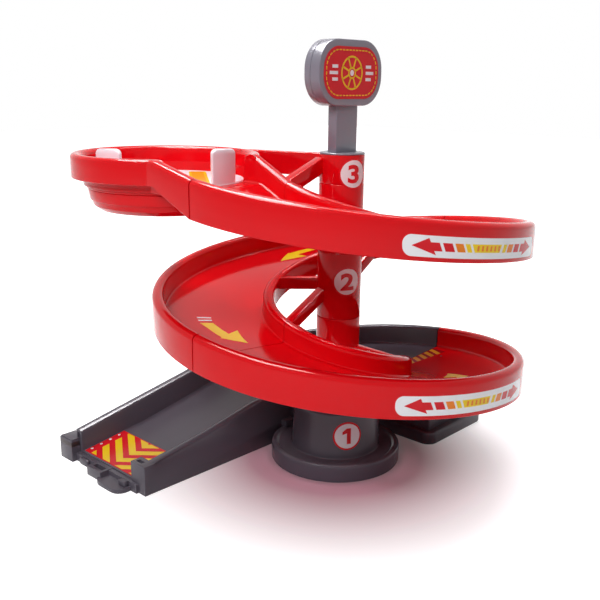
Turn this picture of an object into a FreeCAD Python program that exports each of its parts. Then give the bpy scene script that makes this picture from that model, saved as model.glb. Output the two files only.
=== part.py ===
import FreeCAD, Part
import math
import os
import re

import Sketcher
from FreeCAD import Placement, Rotation, Vector

# Toy race track: a turntable at the top lets a toy car down one and a half turns of spiral lane
# round a column, and a grey curve and ramp bring it out on the floor.
# The origin is on the column's axis at floor level, +Z is up, and the ramp runs out along -Y.

# Driving dimensions in millimetres and degrees: alias, value, what it measures
SIZES = [
    ("half_turn_drop", 37, "fall of the lane in half a turn, and the pitch of the column sleeves"),
    ("exit_floor_height", 41, "lane floor at its inner edge, where the lowest red half turn ends"),
    ("lane_inner_radius", 42.5, "inner edge of the lane floor"),
    ("lane_width", 54.5, "clear width between the two lane walls"),
    ("flange_width", 6.2, "width of the folded rim of each lane wall"),
    ("skin", 2, "thickness of the moulded plastic"),
    ("inner_wall_height", 11, "inner rim above the inner edge of the floor"),
    ("outer_wall_height", 12.5, "outer rim above the outer edge of the floor"),
    ("bank_rise", 4, "outer edge of the banked floor above its inner edge"),
    ("skirt_drop", 2, "how far the wall skirts reach below the inner edge of the floor"),
    ("rim_round", 2.2, "rounding of the rim edges"),
    ("seam_angle", 2, "the front seams lie this many degrees before the front, the back seams likewise"),
    ("seam_gap", 0.3, "gap between two lane pieces at a seam"),
    ("column_radius", 12.2, "outside of the column sleeves"),
    ("column_wall", 2.2, "wall of the column sleeves and their spigots"),
    ("sleeve_rise", 7.5, "foot of a sleeve above the floor where its half turn ends"),
    ("spigot_length", 8, "how far a spigot stands into the sleeve above it"),
    ("collar_height", 6, "thick band inside a sleeve below its spigot"),
    ("fit_clearance", 0.1, "radial clearance of the spigots and of the turntable spindle"),
    ("arm_width", 6, "width of the arms between column and lane"),
    ("arm_angle", 17, "middle arm, turned from the middle of its half turn towards the end"),
    ("arm_depth", 7, "depth of the arms"),
    ("arm_tip_rise", 2.8, "underside of an arm at the lane, above the inner edge of the floor"),
    ("hub_rise", 17.3, "underside of the end arm at the column, above the end floor"),
    ("hub_drop", 15, "underside of the start arm at the column, below the start floor"),
    ("hub_middle", 21, "underside of the middle arm at the column, above the end floor"),
    ("far_arm_angle", 18, "arm from the column to the pan, turned from -X towards -Y"),
    ("far_arm_reach", 63.8, "end of that arm inside the pan wall, from the column axis"),
    ("far_arm_root_depth", 13, "depth of that arm at the column"),
    ("far_arm_tip_depth", 12, "depth of that arm at the pan"),
    ("pan_arm_depth", 8.5, "depth of the arm between the column and the chute"),
    ("pan_arm_rise", 13, "underside of that arm at the column, above the end of the chute"),
    ("foot_radius", 37.2, "round foot of the pedestal"),
    ("foot_height", 9.5, "edge of the round foot"),
    ("foot_dish", 1.2, "depth of the dish in the top of the foot"),
    ("foot_lip", 3, "flat edge of the foot around the dish"),
    ("bowl_radius", 25.5, "pedestal wall at its foot"),
    ("bowl_top_radius", 24.5, "pedestal wall at its shoulder"),
    ("bowl_shoulder", 34, "height of the pedestal's shoulder"),
    ("shoulder_inset", 4, "bevel of the pedestal's shoulder, inwards"),
    ("shoulder_rise", 5, "bevel of the pedestal's shoulder, upwards"),
    ("neck_height", 1.5, "straight neck of the pedestal below the lowest sleeve"),
    ("pedestal_skin", 2.4, "wall of the pedestal"),
    ("pan_offset_x", 67.8, "pan centre from the column axis, against X"),
    ("pan_offset_y", 65.3, "pan centre from the column axis, against Y"),
    ("pan_inner_radius", 44, "inside of the pan wall at its rim"),
    ("pan_foot_radius", 42, "inside of the pan wall at its foot"),
    ("pan_wall_slope", 9, "height of the sloping foot of the pan wall"),
    ("pan_floor_rise", 8.4, "pan ledge above the floor where the pan's slope ends"),
    ("pan_rim_rise", 23, "pan rim above the floor where the pan's slope ends"),
    ("pan_band_height", 12.5, "height of the pan's outer band"),
    ("turntable_radius", 41.2, "turntable disc"),
    ("turntable_turn", 38, "turntable at rest, turned clockwise from +X in degrees"),
    ("turntable_gap", 0.3, "gap round and under the turntable disc"),
    ("turntable_thickness", 2, "turntable disc"),
    ("turntable_rise", 0.8, "top of the disc above the pan ledge"),
    ("drum_wall", 1, "wall of the drum round the turntable's recess"),
    ("spindle_radius", 4, "spindle under the turntable"),
    ("guard_gap", 44.6, "clear width between the two guard blocks"),
    ("guard_back", 20, "back face of the guard blocks from the turntable's centre"),
    ("guard_height", 17.2, "guard blocks above the disc"),
    ("guard_round", 2.5, "rounding of the guard blocks"),
    ("strip_length", 60, "striped labels on the turntable"),
    ("strip_width", 9.6, "striped labels on the turntable"),
    ("strip_margin", 0.6, "striped labels to the guard blocks"),
    ("strip_corner", 1.5, "corner radius of the striped labels"),
    ("washer_radius", 9, "washer that holds the turntable down"),
    ("washer_thickness", 1.6, "washer that holds the turntable down"),
    ("cover_radius", 42, "top of the cover under the pan"),
    ("cover_step_radius", 40.4, "lower tier of the cover under the pan"),
    ("cover_depth", 9.8, "depth of the cover under the pan"),
    ("cover_step", 4, "height of the lower tier of the cover"),
    ("cover_wall", 1.5, "wall of the cover under the pan"),
    ("cover_taper", 1, "narrowing of each tier of the cover towards its foot"),
    ("cover_edge", 2.6, "bevel round the foot of the cover"),
    ("stub_length", 4, "bosses under the pan that take the cover's screws"),
    ("cover_screw_circle", 31, "circle of the screws that hold the cover"),
    ("boss_radius", 3.6, "bosses for the screws"),
    ("screw_radius", 1.4, "shank of the small screws"),
    ("screw_head_radius", 2.6, "head of the small screws"),
    ("screw_head_height", 1.5, "head of the small screws"),
    ("screw_slot", 0.6, "width and depth of the slot in a screw head"),
    ("chute_knee", 30, "where the rims of the chute start to fall, from the seam"),
    ("inner_rim_lag", 0.3, "share of the even fall that the inner rim has done half way"),
    ("chute_flat", 17.5, "where the chute floor starts to fall, from the seam"),
    ("chute_length", 36, "where the outer wall of the chute leaves the pan, from the seam"),
    ("post_width", 15, "sign post along Y"),
    ("post_depth", 5, "sign post along X"),
    ("post_height", 24, "sign post between the cap and the sign"),
    ("post_round", 0.6, "rounding of the post's edges"),
    ("cap_thickness", 1, "grey cap on the column"),
    ("cap_plug_length", 6, "plug of the cap in the top spigot"),
    ("sign_width", 49.5, "sign housing along Y"),
    ("sign_height", 33.5, "sign housing along Z"),
    ("sign_depth", 10.4, "sign housing along X, both shells"),
    ("sign_front_depth", 6.2, "front shell of the sign"),
    ("sign_corner", 15, "corner radius of the sign"),
    ("sign_wall", 1.8, "wall of the sign shells"),
    ("sign_screw_height", 19, "screws of the sign above its foot"),
    ("tang_height", 12, "how far the post stands up inside the sign"),
    ("label_margin", 4, "sign label to the edge of the housing"),
    ("label_thickness", 0.2, "printed labels"),
    ("number_radius", 8.2, "round number labels on the column and the pedestal"),
    ("label_three_rise", 13.3, "middle of label 3 above the chute's end"),
    ("label_three_angle", 18.5, "direction of label 3, from +X towards -Y"),
    ("label_two_rise", 29, "middle of label 2 above the lane where the middle piece ends"),
    ("label_two_angle", 28, "direction of label 2, from +X towards -Y"),
    ("label_one_height", 22, "middle of label 1 above the floor"),
    ("label_one_angle", 34, "direction of label 1, from +X towards -Y"),
    ("ramp_label_length", 27, "label on the ramp's floor, along Y"),
    ("ramp_label_width", 47, "label on the ramp's floor, along X"),
    ("ramp_label_inset", 1, "label on the ramp's floor to the wall and the mouth"),
    ("ramp_length", 109, "ramp from the end of the curve to its mouth"),
    ("ramp_knee", 30, "where the ramp floor has lost its bank"),
    ("ramp_knee_height", 19, "ramp floor at the knee"),
    ("ramp_waist", 66, "lower station of the ramp floor, from the end of the curve"),
    ("ramp_waist_height", 11.9, "ramp floor at the lower station"),
    ("ramp_mouth_height", 6, "ramp floor at its mouth"),
    ("ramp_inner_wall", 10.4, "ramp rim on the column side above the floor"),
    ("ramp_outer_wall", 14.6, "ramp rim on the far side above the floor"),
    ("ramp_mouth_wall", 12.4, "ramp rim on the far side at the mouth, above the floor"),
    ("mouth_width", 75, "over both connector blocks at the mouth"),
    ("block_width", 12, "connector blocks along X"),
    ("block_height", 16.6, "right connector block"),
    ("block_length", 7, "right connector block along Y"),
    ("socket_height", 12.6, "left connector socket"),
    ("socket_length", 14, "left connector socket along Y"),
    ("socket_reach", 5.5, "left socket past the mouth"),
    ("socket_hole", 7, "square hole of the left socket"),
    ("socket_wall", 2.3, "wall of the left socket"),
    ("socket_depth", 8, "depth of the square hole"),
    ("block_overhang", 1, "right connector block past the mouth"),
    ("slot_inset", 2, "slot in the right block to the block's outer and rear faces"),
    ("slot_length", 5, "slot in the right block along X"),
    ("slot_width", 2.4, "slot in the right block along Y"),
    ("slot_depth", 7, "slot in the right block"),
    ("sill_reach", 2.5, "sill past the mouth"),
    ("sill_back", 3, "sill behind the mouth"),
    ("sill_drop", 1, "sill below the ramp floor"),
    ("overlap", 1, "how far neighbouring parts of one moulding run into each other"),
    ("tongue_width", 21, "flat tongue at the mouth"),
    ("tongue_reach", 11, "flat tongue past the mouth"),
    ("tongue_thickness", 2.4, "flat tongue"),
    ("hook_width", 11, "hook beside the tongue"),
    ("hook_reach", 8, "hook past the mouth"),
    ("hook_height", 5.4, "hook beside the tongue"),
    ("hook_wall", 2.4, "walls of the hook"),
    ("tab_length", 8, "tab that rests on the round foot"),
    ("tab_reach", 5, "tab over the round foot"),
    ("tab_height", 3.4, "tab that rests on the round foot"),
    ("rear_foot_right", 35, "rear foot, edge on the +X side"),
    ("rear_foot_left", 20, "rear foot, edge on the -X side"),
    ("rear_foot_setback", 4.5, "rear foot, edge nearest the column, to the lane's inner edge"),
    ("rear_foot_depth", 60, "rear foot, along Y"),
    ("rear_foot_height", 8, "rear foot slab"),
    ("rear_foot_corner", 7, "corner radius of the rear foot"),
    ("rear_leg_inset", 4.5, "leg inside the edge of its foot"),
    ("rear_leg_depth", 37.5, "leg, along Y"),
    ("rear_leg_midway", 16.5, "lane's inner edge to the radius at which the leg's top follows the lane"),
    ("rear_leg_clearance", 0.25, "leg top below the lane at the leg's face nearest the column"),
]
NAMES = [name for name, size, meaning in SIZES]

doc = FreeCAD.newDocument("toy_race_track")
sheet = doc.addObject("Spreadsheet::Sheet", "Sizes")
for row, (name, size, meaning) in enumerate(SIZES, start=1):
    sheet.set("A%d" % row, name)
    sheet.set("B%d" % row, str(size))
    sheet.set("C%d" % row, meaning)
    sheet.setAlias("B%d" % row, name)
doc.recompute()


def bound(text):
    """The text as an expression that reads the sheet."""
    return re.sub(r"[a-z]+(?:_[a-z]+)*", lambda m: "Sizes." + m[0] if m[0] in NAMES else m[0], text)


def value(text):
    return float(sheet.evalExpression(bound(text)))


# Levels and radii that several pieces share
HUB_SIDE = "(lane_inner_radius - flange_width)"
LANE_END = "(lane_inner_radius + lane_width)"
OUTSIDE = "(lane_inner_radius + lane_width + flange_width)"
INNER_RIM = "inner_wall_height"
OUTER_RIM = "(bank_rise + outer_wall_height)"
BORE = "(column_radius - column_wall)"
SPIGOT = "(column_radius - column_wall - fit_clearance)"
SPIGOT_BORE = "(column_radius - 2 * column_wall - fit_clearance)"
ARM_TIP = "(lane_inner_radius - flange_width + skin / 2)"
SLEEVE_TOP = "(sleeve_rise + half_turn_drop)"
PAN_LEVEL = "(exit_floor_height + 3 * half_turn_drop)"
PAN_OUTSIDE = "(pan_inner_radius + flange_width)"
RECESS_RADIUS = "(turntable_radius + turntable_gap)"
DISC_TOP = "(pan_floor_rise + turntable_rise)"
RECESS_FLOOR = "(pan_floor_rise + turntable_rise - turntable_thickness - turntable_gap)"
PAN_BOTTOM = "(%s - skin)" % RECESS_FLOOR
COVER_TOP = "(%s - fit_clearance)" % PAN_BOTTOM
CURVE_ANGLE = "(90 + seam_angle)"
CURVE_DROP = "(half_turn_drop * (90 + seam_angle) / 180)"
CURVE_END = "(exit_floor_height - half_turn_drop * (90 + seam_angle) / 180)"
HUB_TOP = "(exit_floor_height + 3 * half_turn_drop + pan_rim_rise)"
SIGN_BASE = "(exit_floor_height + 3 * half_turn_drop + pan_rim_rise + cap_thickness + post_height)"

nodes = []


def add_node(label, made):
    made.Label = label
    nodes.append(made)
    return made


def place(made, x="0", y="0", z="0", turn=0):
    """Places an object, with its turn about Z in degrees."""
    made.Placement = Placement(Vector(), Rotation(Vector(0, 0, 1), turn))
    for axis, text in zip("xyz", (x, y, z)):
        made.setExpression("Placement.Base." + axis, bound(text))
    return made


def sketch_on(body, plane, offset=("0", "0", "0"), swing=0):
    """A sketch on one of the body's own planes, moved and swung in that plane's axes."""
    sketch = body.newObject("Sketcher::SketchObject", "Sketch")
    support = [feature for feature in body.Origin.OriginFeatures if feature.Role == plane][0]
    sketch.AttachmentSupport = [(support, "")]
    sketch.MapMode = "FlatFace"
    sketch.AttachmentOffset = Placement(Vector(), Rotation(Vector(0, 1, 0), swing))
    for axis, text in zip("xyz", offset):
        sketch.setExpression("AttachmentOffset.Base." + axis, bound(text))
    return sketch


def fix(sketch, kind, geometry, point, text):
    """One driving dimension of a sketch, bound to the sheet."""
    if kind == "Radius":
        constraint = Sketcher.Constraint(kind, geometry, value(text))
    else:
        constraint = Sketcher.Constraint(kind, -1, 1, geometry, point, value(text))
    index = sketch.addConstraint(constraint)
    sketch.setExpression("Constraints[%d]" % index, bound(text))


def circle(sketch, x, y, radius):
    shape = Part.Circle(Vector(value(x), value(y), 0), Vector(0, 0, 1), value(radius))
    index = sketch.addGeometry(shape, False)
    fix(sketch, "DistanceX", index, 3, x)
    fix(sketch, "DistanceY", index, 3, y)
    fix(sketch, "Radius", index, None, radius)


def sign_of(number):
    return (number > 1e-9) - (number < -1e-9)


def outline(sketch, corners):
    """A closed outline. A corner with a third text is rounded to that radius: its edges run along
    the sketch's axes."""
    spots = [(value(corner[0]), value(corner[1])) for corner in corners]
    pieces = []
    for index, corner in enumerate(corners):
        x, y = corner[0], corner[1]
        if len(corner) == 2:
            pieces.append(("point", (x, y), (x, y), None, None))
            continue
        before = spots[index - 1]
        after = spots[(index + 1) % len(spots)]
        here = spots[index]
        back = (sign_of(before[0] - here[0]), sign_of(before[1] - here[1]))
        ahead = (sign_of(after[0] - here[0]), sign_of(after[1] - here[1]))
        radius = corner[2]
        first = tuple("%s + %d * %s" % (text, way, radius) for text, way in zip((x, y), back))
        last = tuple("%s + %d * %s" % (text, way, radius) for text, way in zip((x, y), ahead))
        centre = tuple("%s + %d * %s" % (text, one + two, radius)
                       for text, one, two in zip((x, y), back, ahead))
        pieces.append(("arc", first, last, centre, radius))

    drawn = []
    for index, piece in enumerate(pieces):
        following = pieces[(index + 1) % len(pieces)]
        if piece[0] == "arc":
            centre = Vector(value(piece[3][0]), value(piece[3][1]), 0)
            begin, finish = (math.atan2(value(spot[1]) - centre.y, value(spot[0]) - centre.x)
                             for spot in (piece[1], piece[2]))
            forward = math.sin(finish - begin) > 0
            low, high = (begin, finish) if forward else (finish, begin)
            ring = Part.Circle(centre, Vector(0, 0, 1), value(piece[4]))
            number = sketch.addGeometry(Part.ArcOfCircle(ring, low, high), False)
            ends = (1, 2) if forward else (2, 1)
            drawn.append((number, ends, piece[1]))
            fix(sketch, "Radius", number, None, piece[4])
        line = Part.LineSegment(Vector(value(piece[2][0]), value(piece[2][1]), 0),
                                Vector(value(following[1][0]), value(following[1][1]), 0))
        number = sketch.addGeometry(line, False)
        drawn.append((number, (1, 2), piece[2]))
    for index, (number, ends, texts) in enumerate(drawn):
        after, after_ends, unused = drawn[(index + 1) % len(drawn)]
        sketch.addConstraint(Sketcher.Constraint("Coincident", number, ends[1], after, after_ends[0]))
        fix(sketch, "DistanceX", number, ends[0], texts[0])
        fix(sketch, "DistanceY", number, ends[0], texts[1])


def pad(body, sketch, length, middle=False, back=False, cut=False):
    """A pad, or a pocket, with its length bound to the sheet. Forward is the sketch's own normal."""
    feature = body.newObject("PartDesign::Pocket" if cut else "PartDesign::Pad", "Pad")
    feature.Profile = sketch
    feature.setExpression("Length", bound(length))
    if middle:
        feature.Midplane = True
    feature.Reversed = (not back) if cut else back
    sketch.Visibility = False
    return feature


def revolve(body, sketch, cut=False):
    feature = body.newObject("PartDesign::Groove" if cut else "PartDesign::Revolution", "Turned")
    feature.Profile = sketch
    feature.ReferenceAxis = (sketch, ["V_Axis"])
    feature.Angle = 360
    return feature


def top_edges(feature, level):
    """Names of the edges at or above the given level."""
    return ["Edge%d" % number for number, edge in enumerate(feature.Shape.Edges, start=1)
            if edge.BoundBox.ZMin > value(level) - 0.001]


def new_body(label):
    return add_node(label, doc.addObject("PartDesign::Body", label))


def rim(outside, inside, top):
    """The top of a wall from its outer face to its inner one, its two edges rounded in two bevels."""
    nick = "rim_round * (1 - sqrt(2) / 2)"
    return [(outside, top + " - rim_round"), ("%s - %s" % (outside, nick), "%s - %s" % (top, nick)),
            (outside + " - rim_round", top), (inside + " + rim_round", top),
            ("%s + %s" % (inside, nick), "%s - %s" % (top, nick)), (inside, top + " - rim_round")]


def lane_section(flange="flange_width", side=1, floor=("0", "bank_rise"), rims=(INNER_RIM, OUTER_RIM),
                 skirts=("-skirt_drop", "-skirt_drop")):
    """The section across a lane: folded inner wall, floor, folded outer wall."""
    inner, outer = floor
    low, high = rims
    near, far = skirts
    start = "lane_inner_radius"
    rows = [
        (start + " - " + flange, near),
        (start + " - " + flange + " + skin", near),
        (start + " - " + flange + " + skin", low + " - skin"),
        (start + " - skin", low + " - skin"),
        (start + " - skin", inner + " - skin"),
        (LANE_END + " + skin", outer + " - skin"),
        (LANE_END + " + skin", high + " - skin"),
        (LANE_END + " + " + flange + " - skin", high + " - skin"),
        (LANE_END + " + " + flange + " - skin", far),
        (LANE_END + " + " + flange, far),
        *rim(LANE_END + " + " + flange, LANE_END, high),
        (LANE_END, outer),
        (start, inner),
        *rim(start, start + " - " + flange, low),
    ]
    if side < 0:
        rows = [("-(%s)" % row[0],) + tuple(row[1:]) for row in rows]
    return rows


def helix_lane(body, turns, drop):
    """A lane that ends at the body's YZ plane on its +Y side and climbs clockwise from there."""
    sketch = sketch_on(body, "YZ_Plane")
    outline(sketch, lane_section())
    lane = body.newObject("PartDesign::AdditiveHelix", "Lane")
    lane.Profile = sketch
    lane.ReferenceAxis = (sketch, ["V_Axis"])
    lane.Mode = "height-turns-angle"
    lane.LeftHanded = True
    gap = "seam_gap / (2 * pi * lane_inner_radius)"
    lane.setExpression("Turns", bound("%s - %s" % (turns, gap)))
    lane.setExpression("Height", bound("%s * (1 - %s / %s)" % (drop, gap, turns)))
    return lane


def sleeve_outside(body):
    """The column sleeve with its spigot, still solid."""
    sketch = sketch_on(body, "XZ_Plane")
    outline(sketch, [
        ("0", "sleeve_rise"), ("column_radius", "sleeve_rise"), ("column_radius", SLEEVE_TOP),
        (SPIGOT, SLEEVE_TOP), (SPIGOT, SLEEVE_TOP + " + spigot_length"),
        ("0", SLEEVE_TOP + " + spigot_length")])
    return revolve(body, sketch)


def sleeve_bore(body):
    """The bore of a sleeve: wide below, where it takes the next spigot, and narrow at the top."""
    sketch = sketch_on(body, "XZ_Plane")
    shoulder = SLEEVE_TOP + " - collar_height"
    outline(sketch, [
        ("0", "sleeve_rise"), (BORE, "sleeve_rise"), (BORE, shoulder + " - column_wall"),
        (SPIGOT_BORE, shoulder), (SPIGOT_BORE, SLEEVE_TOP + " + spigot_length"),
        ("0", SLEEVE_TOP + " + spigot_length")])
    return revolve(body, sketch, cut=True)


def arm(body, plane, corners, offset="0", swing=0, middle=False, back=False):
    """An arm from the column to the lane: its side outline, and its width across it."""
    sketch = sketch_on(body, plane, ("0", "0", offset), swing)
    outline(sketch, corners)
    return pad(body, sketch, "arm_width", middle=middle, back=back)


def arm_side(reach, root, tip, way=1, root_depth="arm_depth", tip_depth="arm_depth"):
    """Side outline of an arm with the undersides root at the column and tip at the lane."""
    near = "%d * (column_radius - column_wall / 2)" % way
    far = "%d * %s" % (way, reach)
    return [(near, root), (far, tip), (far, "%s + %s" % (tip, tip_depth)),
            (near, "%s + %s" % (root, root_depth))]


# Red half turns: one moulding, used three times, each half a turn further up the column
def half_turn(label, step):
    body = new_body(label)
    sleeve_outside(body)
    arm(body, "YZ_Plane", arm_side(ARM_TIP, "hub_rise", "arm_tip_rise"))
    start_tip = "half_turn_drop + arm_tip_rise"
    arm(body, "YZ_Plane", arm_side(ARM_TIP, "half_turn_drop - hub_drop", start_tip, way=-1), "seam_gap")
    middle_tip = "half_turn_drop * (90 - arm_angle) / 180 + arm_tip_rise"
    arm(body, "XZ_Plane", arm_side(ARM_TIP, "hub_middle", middle_tip), swing=value("arm_angle"), middle=True)
    helix_lane(body, "0.5", "half_turn_drop")
    sleeve_bore(body)
    place(body, z="exit_floor_height + %d * half_turn_drop" % step,
          turn=180 * (step % 2) - value("seam_angle"))


for step, label in enumerate(["lower_half_turn", "middle_half_turn", "upper_half_turn"]):
    half_turn(label, step)


# Grey curve: a quarter turn of the same lane and a little more, from the lowest red piece to the ramp
exit_curve = new_body("exit_curve")
helix_lane(exit_curve, "(%s / 360)" % CURVE_ANGLE, CURVE_DROP)
place(exit_curve, z=CURVE_END, turn=90)


# Grey pedestal: round foot with a dished top, tapered wall, shoulder, and the lowest spigot
pedestal = new_body("base_pedestal")
sketch = sketch_on(pedestal, "XZ_Plane")
SLEEVE_FOOT = "(exit_floor_height + sleeve_rise)"
outline(sketch, [
    ("foot_radius - pedestal_skin", "0"), ("foot_radius", "0"),
    ("foot_radius", "foot_height - rim_round / 2"), ("foot_radius - rim_round / 2", "foot_height"),
    ("foot_radius - foot_lip", "foot_height"),
    ("foot_radius - foot_lip - foot_dish", "foot_height - foot_dish"),
    ("bowl_radius", "foot_height - foot_dish"),
    ("bowl_top_radius", "bowl_shoulder"),
    ("bowl_top_radius - shoulder_inset", "bowl_shoulder + shoulder_rise"),
    ("column_radius", SLEEVE_FOOT + " - neck_height"), ("column_radius", SLEEVE_FOOT),
    (SPIGOT, SLEEVE_FOOT), (SPIGOT, SLEEVE_FOOT + " + spigot_length"),
    (SPIGOT_BORE, SLEEVE_FOOT + " + spigot_length"), (SPIGOT_BORE, SLEEVE_FOOT + " - neck_height"),
    ("bowl_top_radius - shoulder_inset - pedestal_skin", "bowl_shoulder + shoulder_rise - pedestal_skin"),
    ("bowl_top_radius - pedestal_skin", "bowl_shoulder - pedestal_skin / 2"),
    ("bowl_radius - pedestal_skin", "foot_height - foot_dish - pedestal_skin"),
    ("foot_radius - pedestal_skin", "foot_height - foot_dish - pedestal_skin")])
revolve(pedestal, sketch)


# Rear foot: a low slab and a hollow leg under the seam where the red lane meets the grey curve
rear = new_body("rear_support")
REAR_FRONT = "(lane_inner_radius + rear_foot_setback)"
REAR_BACK = "(%s + rear_foot_depth)" % REAR_FRONT
sketch = sketch_on(rear, "XY_Plane")
outline(sketch, [
    ("-rear_foot_left", REAR_FRONT, "rear_foot_corner"), ("rear_foot_right", REAR_FRONT, "rear_foot_corner"),
    ("rear_foot_right", REAR_BACK, "rear_foot_corner"), ("-rear_foot_left", REAR_BACK, "rear_foot_corner")])
pad(rear, sketch, "rear_foot_height")
LEG_RIGHT = "(rear_foot_right - rear_leg_inset)"
LEG_LEFT = "(rear_foot_left - rear_leg_inset)"
LEG_FRONT = "(%s + rear_leg_inset)" % REAR_FRONT
LEG_TOP = ("(exit_floor_height - half_turn_drop * seam_angle / 180 - skin - rear_leg_clearance"
           " + bank_rise * (rear_foot_setback + rear_leg_inset) / lane_width)")
LEG_SLOPE = "half_turn_drop / (pi * (lane_inner_radius + rear_leg_midway))"
sketch = sketch_on(rear, "XZ_Plane", ("0", "0", "-" + LEG_FRONT))
outline(sketch, [
    ("-" + LEG_LEFT, "rear_foot_height / 2"), (LEG_RIGHT, "rear_foot_height / 2"),
    (LEG_RIGHT, LEG_TOP + " + %s * " % LEG_SLOPE + LEG_RIGHT),
    ("-" + LEG_LEFT, LEG_TOP + " - %s * " % LEG_SLOPE + LEG_LEFT)])
pad(rear, sketch, "rear_leg_depth", back=True)
sketch = sketch_on(rear, "XY_Plane")
outline(sketch, [
    ("-%s + skin" % LEG_LEFT, LEG_FRONT + " + skin"), (LEG_RIGHT + " - skin", LEG_FRONT + " + skin"),
    (LEG_RIGHT + " - skin", LEG_FRONT + " + rear_leg_depth - skin"),
    ("-%s + skin" % LEG_LEFT, LEG_FRONT + " + rear_leg_depth - skin")])
pad(rear, sketch, LEG_TOP + " - %s * " % LEG_SLOPE + LEG_LEFT + " - skin", cut=True)


# Grey ramp: hollow side walls down to the floor, a floor that flattens out, and the mouth
ramp = new_body("exit_ramp")


def ramp_station(distance, inner, outer, far_wall="ramp_outer_wall"):
    rims = (inner + " + ramp_inner_wall", outer + " + " + far_wall)
    section = sketch_on(ramp, "XZ_Plane", ("0", "0", distance))
    outline(section, lane_section("flange_width", -1, (inner, outer), rims, ("0", "0")))
    return section


stations = [
    ramp_station("seam_gap", CURVE_END, CURVE_END + " + bank_rise"),
    ramp_station("ramp_knee", "ramp_knee_height", "ramp_knee_height"),
    ramp_station("ramp_waist", "ramp_waist_height", "ramp_waist_height"),
    ramp_station("ramp_length", "ramp_mouth_height", "ramp_mouth_height", "ramp_mouth_wall"),
]
loft = ramp.newObject("PartDesign::AdditiveLoft", "Ramp")
loft.Profile = stations[0]
loft.Sections = stations[1:]
loft.Ruled = True

RIGHT_FACE = "(flange_width - lane_inner_radius)"
LEFT_FACE = "(flange_width - lane_inner_radius - mouth_width)"


def mouth_box(x_low, x_high, y_low, y_high, height, level="0", cut=False):
    """A block, or a hole, of the ramp's mouth between two X and two Y places."""
    section = sketch_on(ramp, "XY_Plane", ("0", "0", level))
    outline(section, [(x_low, y_low), (x_high, y_low), (x_high, y_high), (x_low, y_high)])
    return pad(ramp, section, height, cut=cut)


# Right block with its slot, left socket with its square hole, sill, tongue and hook
mouth_box(RIGHT_FACE + " - block_width", RIGHT_FACE, "-ramp_length - block_overhang",
          "-ramp_length - block_overhang + block_length", "block_height")
mouth_box(LEFT_FACE, LEFT_FACE + " + block_width", "-ramp_length - socket_reach",
          "-ramp_length - socket_reach + socket_length", "socket_height")
mouth_box(LEFT_FACE + " + block_width / 2", RIGHT_FACE + " - block_width / 2", "-ramp_length - sill_reach",
          "-ramp_length + sill_back", "ramp_mouth_height - sill_drop")
TONGUE_RIGHT = "(%s - block_width)" % RIGHT_FACE
TONGUE_LEFT = "(%s - block_width - tongue_width)" % RIGHT_FACE
mouth_box(TONGUE_LEFT, TONGUE_RIGHT + " + overlap", "-ramp_length - tongue_reach", "-ramp_length",
          "tongue_thickness")
mouth_box(TONGUE_LEFT + " - hook_width", TONGUE_LEFT + " + 2 * overlap", "-ramp_length - hook_reach",
          "-ramp_length", "hook_height")
mouth_box(TONGUE_LEFT + " - hook_width + hook_wall", TONGUE_LEFT, "-ramp_length - hook_reach + hook_wall",
          "-ramp_length - sill_reach", "hook_height", "tongue_thickness / 2", cut=True)
HOLE_FRONT = "-ramp_length - socket_reach + socket_wall"
mouth_box(LEFT_FACE + " + socket_wall", LEFT_FACE + " + socket_wall + socket_hole", HOLE_FRONT,
          HOLE_FRONT + " + socket_hole", "socket_height", "socket_height - socket_depth", cut=True)
mouth_box(TONGUE_RIGHT + " + slot_inset", TONGUE_RIGHT + " + slot_inset + slot_length",
          "-ramp_length + slot_inset - block_overhang", "-ramp_length + slot_inset - block_overhang + slot_width",
          "block_height", "block_height - slot_depth", cut=True)
# Room for the edge of the round foot, and the tab on the column side that rests on it
sketch = sketch_on(ramp, "XY_Plane")
circle(sketch, "0", "0", "foot_radius + seam_gap")
pad(ramp, sketch, "foot_height + fit_clearance", cut=True)
mouth_box(RIGHT_FACE + " - skin", "tab_reach - foot_radius", "-tab_length - seam_gap", "-seam_gap",
          "tab_height", "foot_height + fit_clearance")


# Launch pan: the pan with its rim, the chute down to the first seam, the top sleeve and two arms
pan = new_body("launch_pan")
sleeve = sketch_on(pan, "XZ_Plane")
outline(sleeve, [("0", "sleeve_rise"), ("column_radius", "sleeve_rise"),
                 ("column_radius", "pan_rim_rise"), ("0", "pan_rim_rise")])
revolve(pan, sleeve)
arm(pan, "YZ_Plane", arm_side(ARM_TIP, "pan_arm_rise", "arm_tip_rise", way=-1, root_depth="pan_arm_depth",
                              tip_depth="pan_arm_depth"), "-arm_width / 2", back=True)
arm(pan, "XZ_Plane",
    arm_side("far_arm_reach", "pan_rim_rise - far_arm_root_depth", "pan_rim_rise - far_arm_tip_depth", way=-1,
             root_depth="far_arm_root_depth", tip_depth="far_arm_tip_depth"),
    swing=value("far_arm_angle"), middle=True)

pan_wall = sketch_on(pan, "XZ_Plane", ("-pan_offset_x", "0", "pan_offset_y"))
HOLE = "(spindle_radius + fit_clearance)"
DRUM = "(%s + drum_wall)" % RECESS_RADIUS
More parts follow.
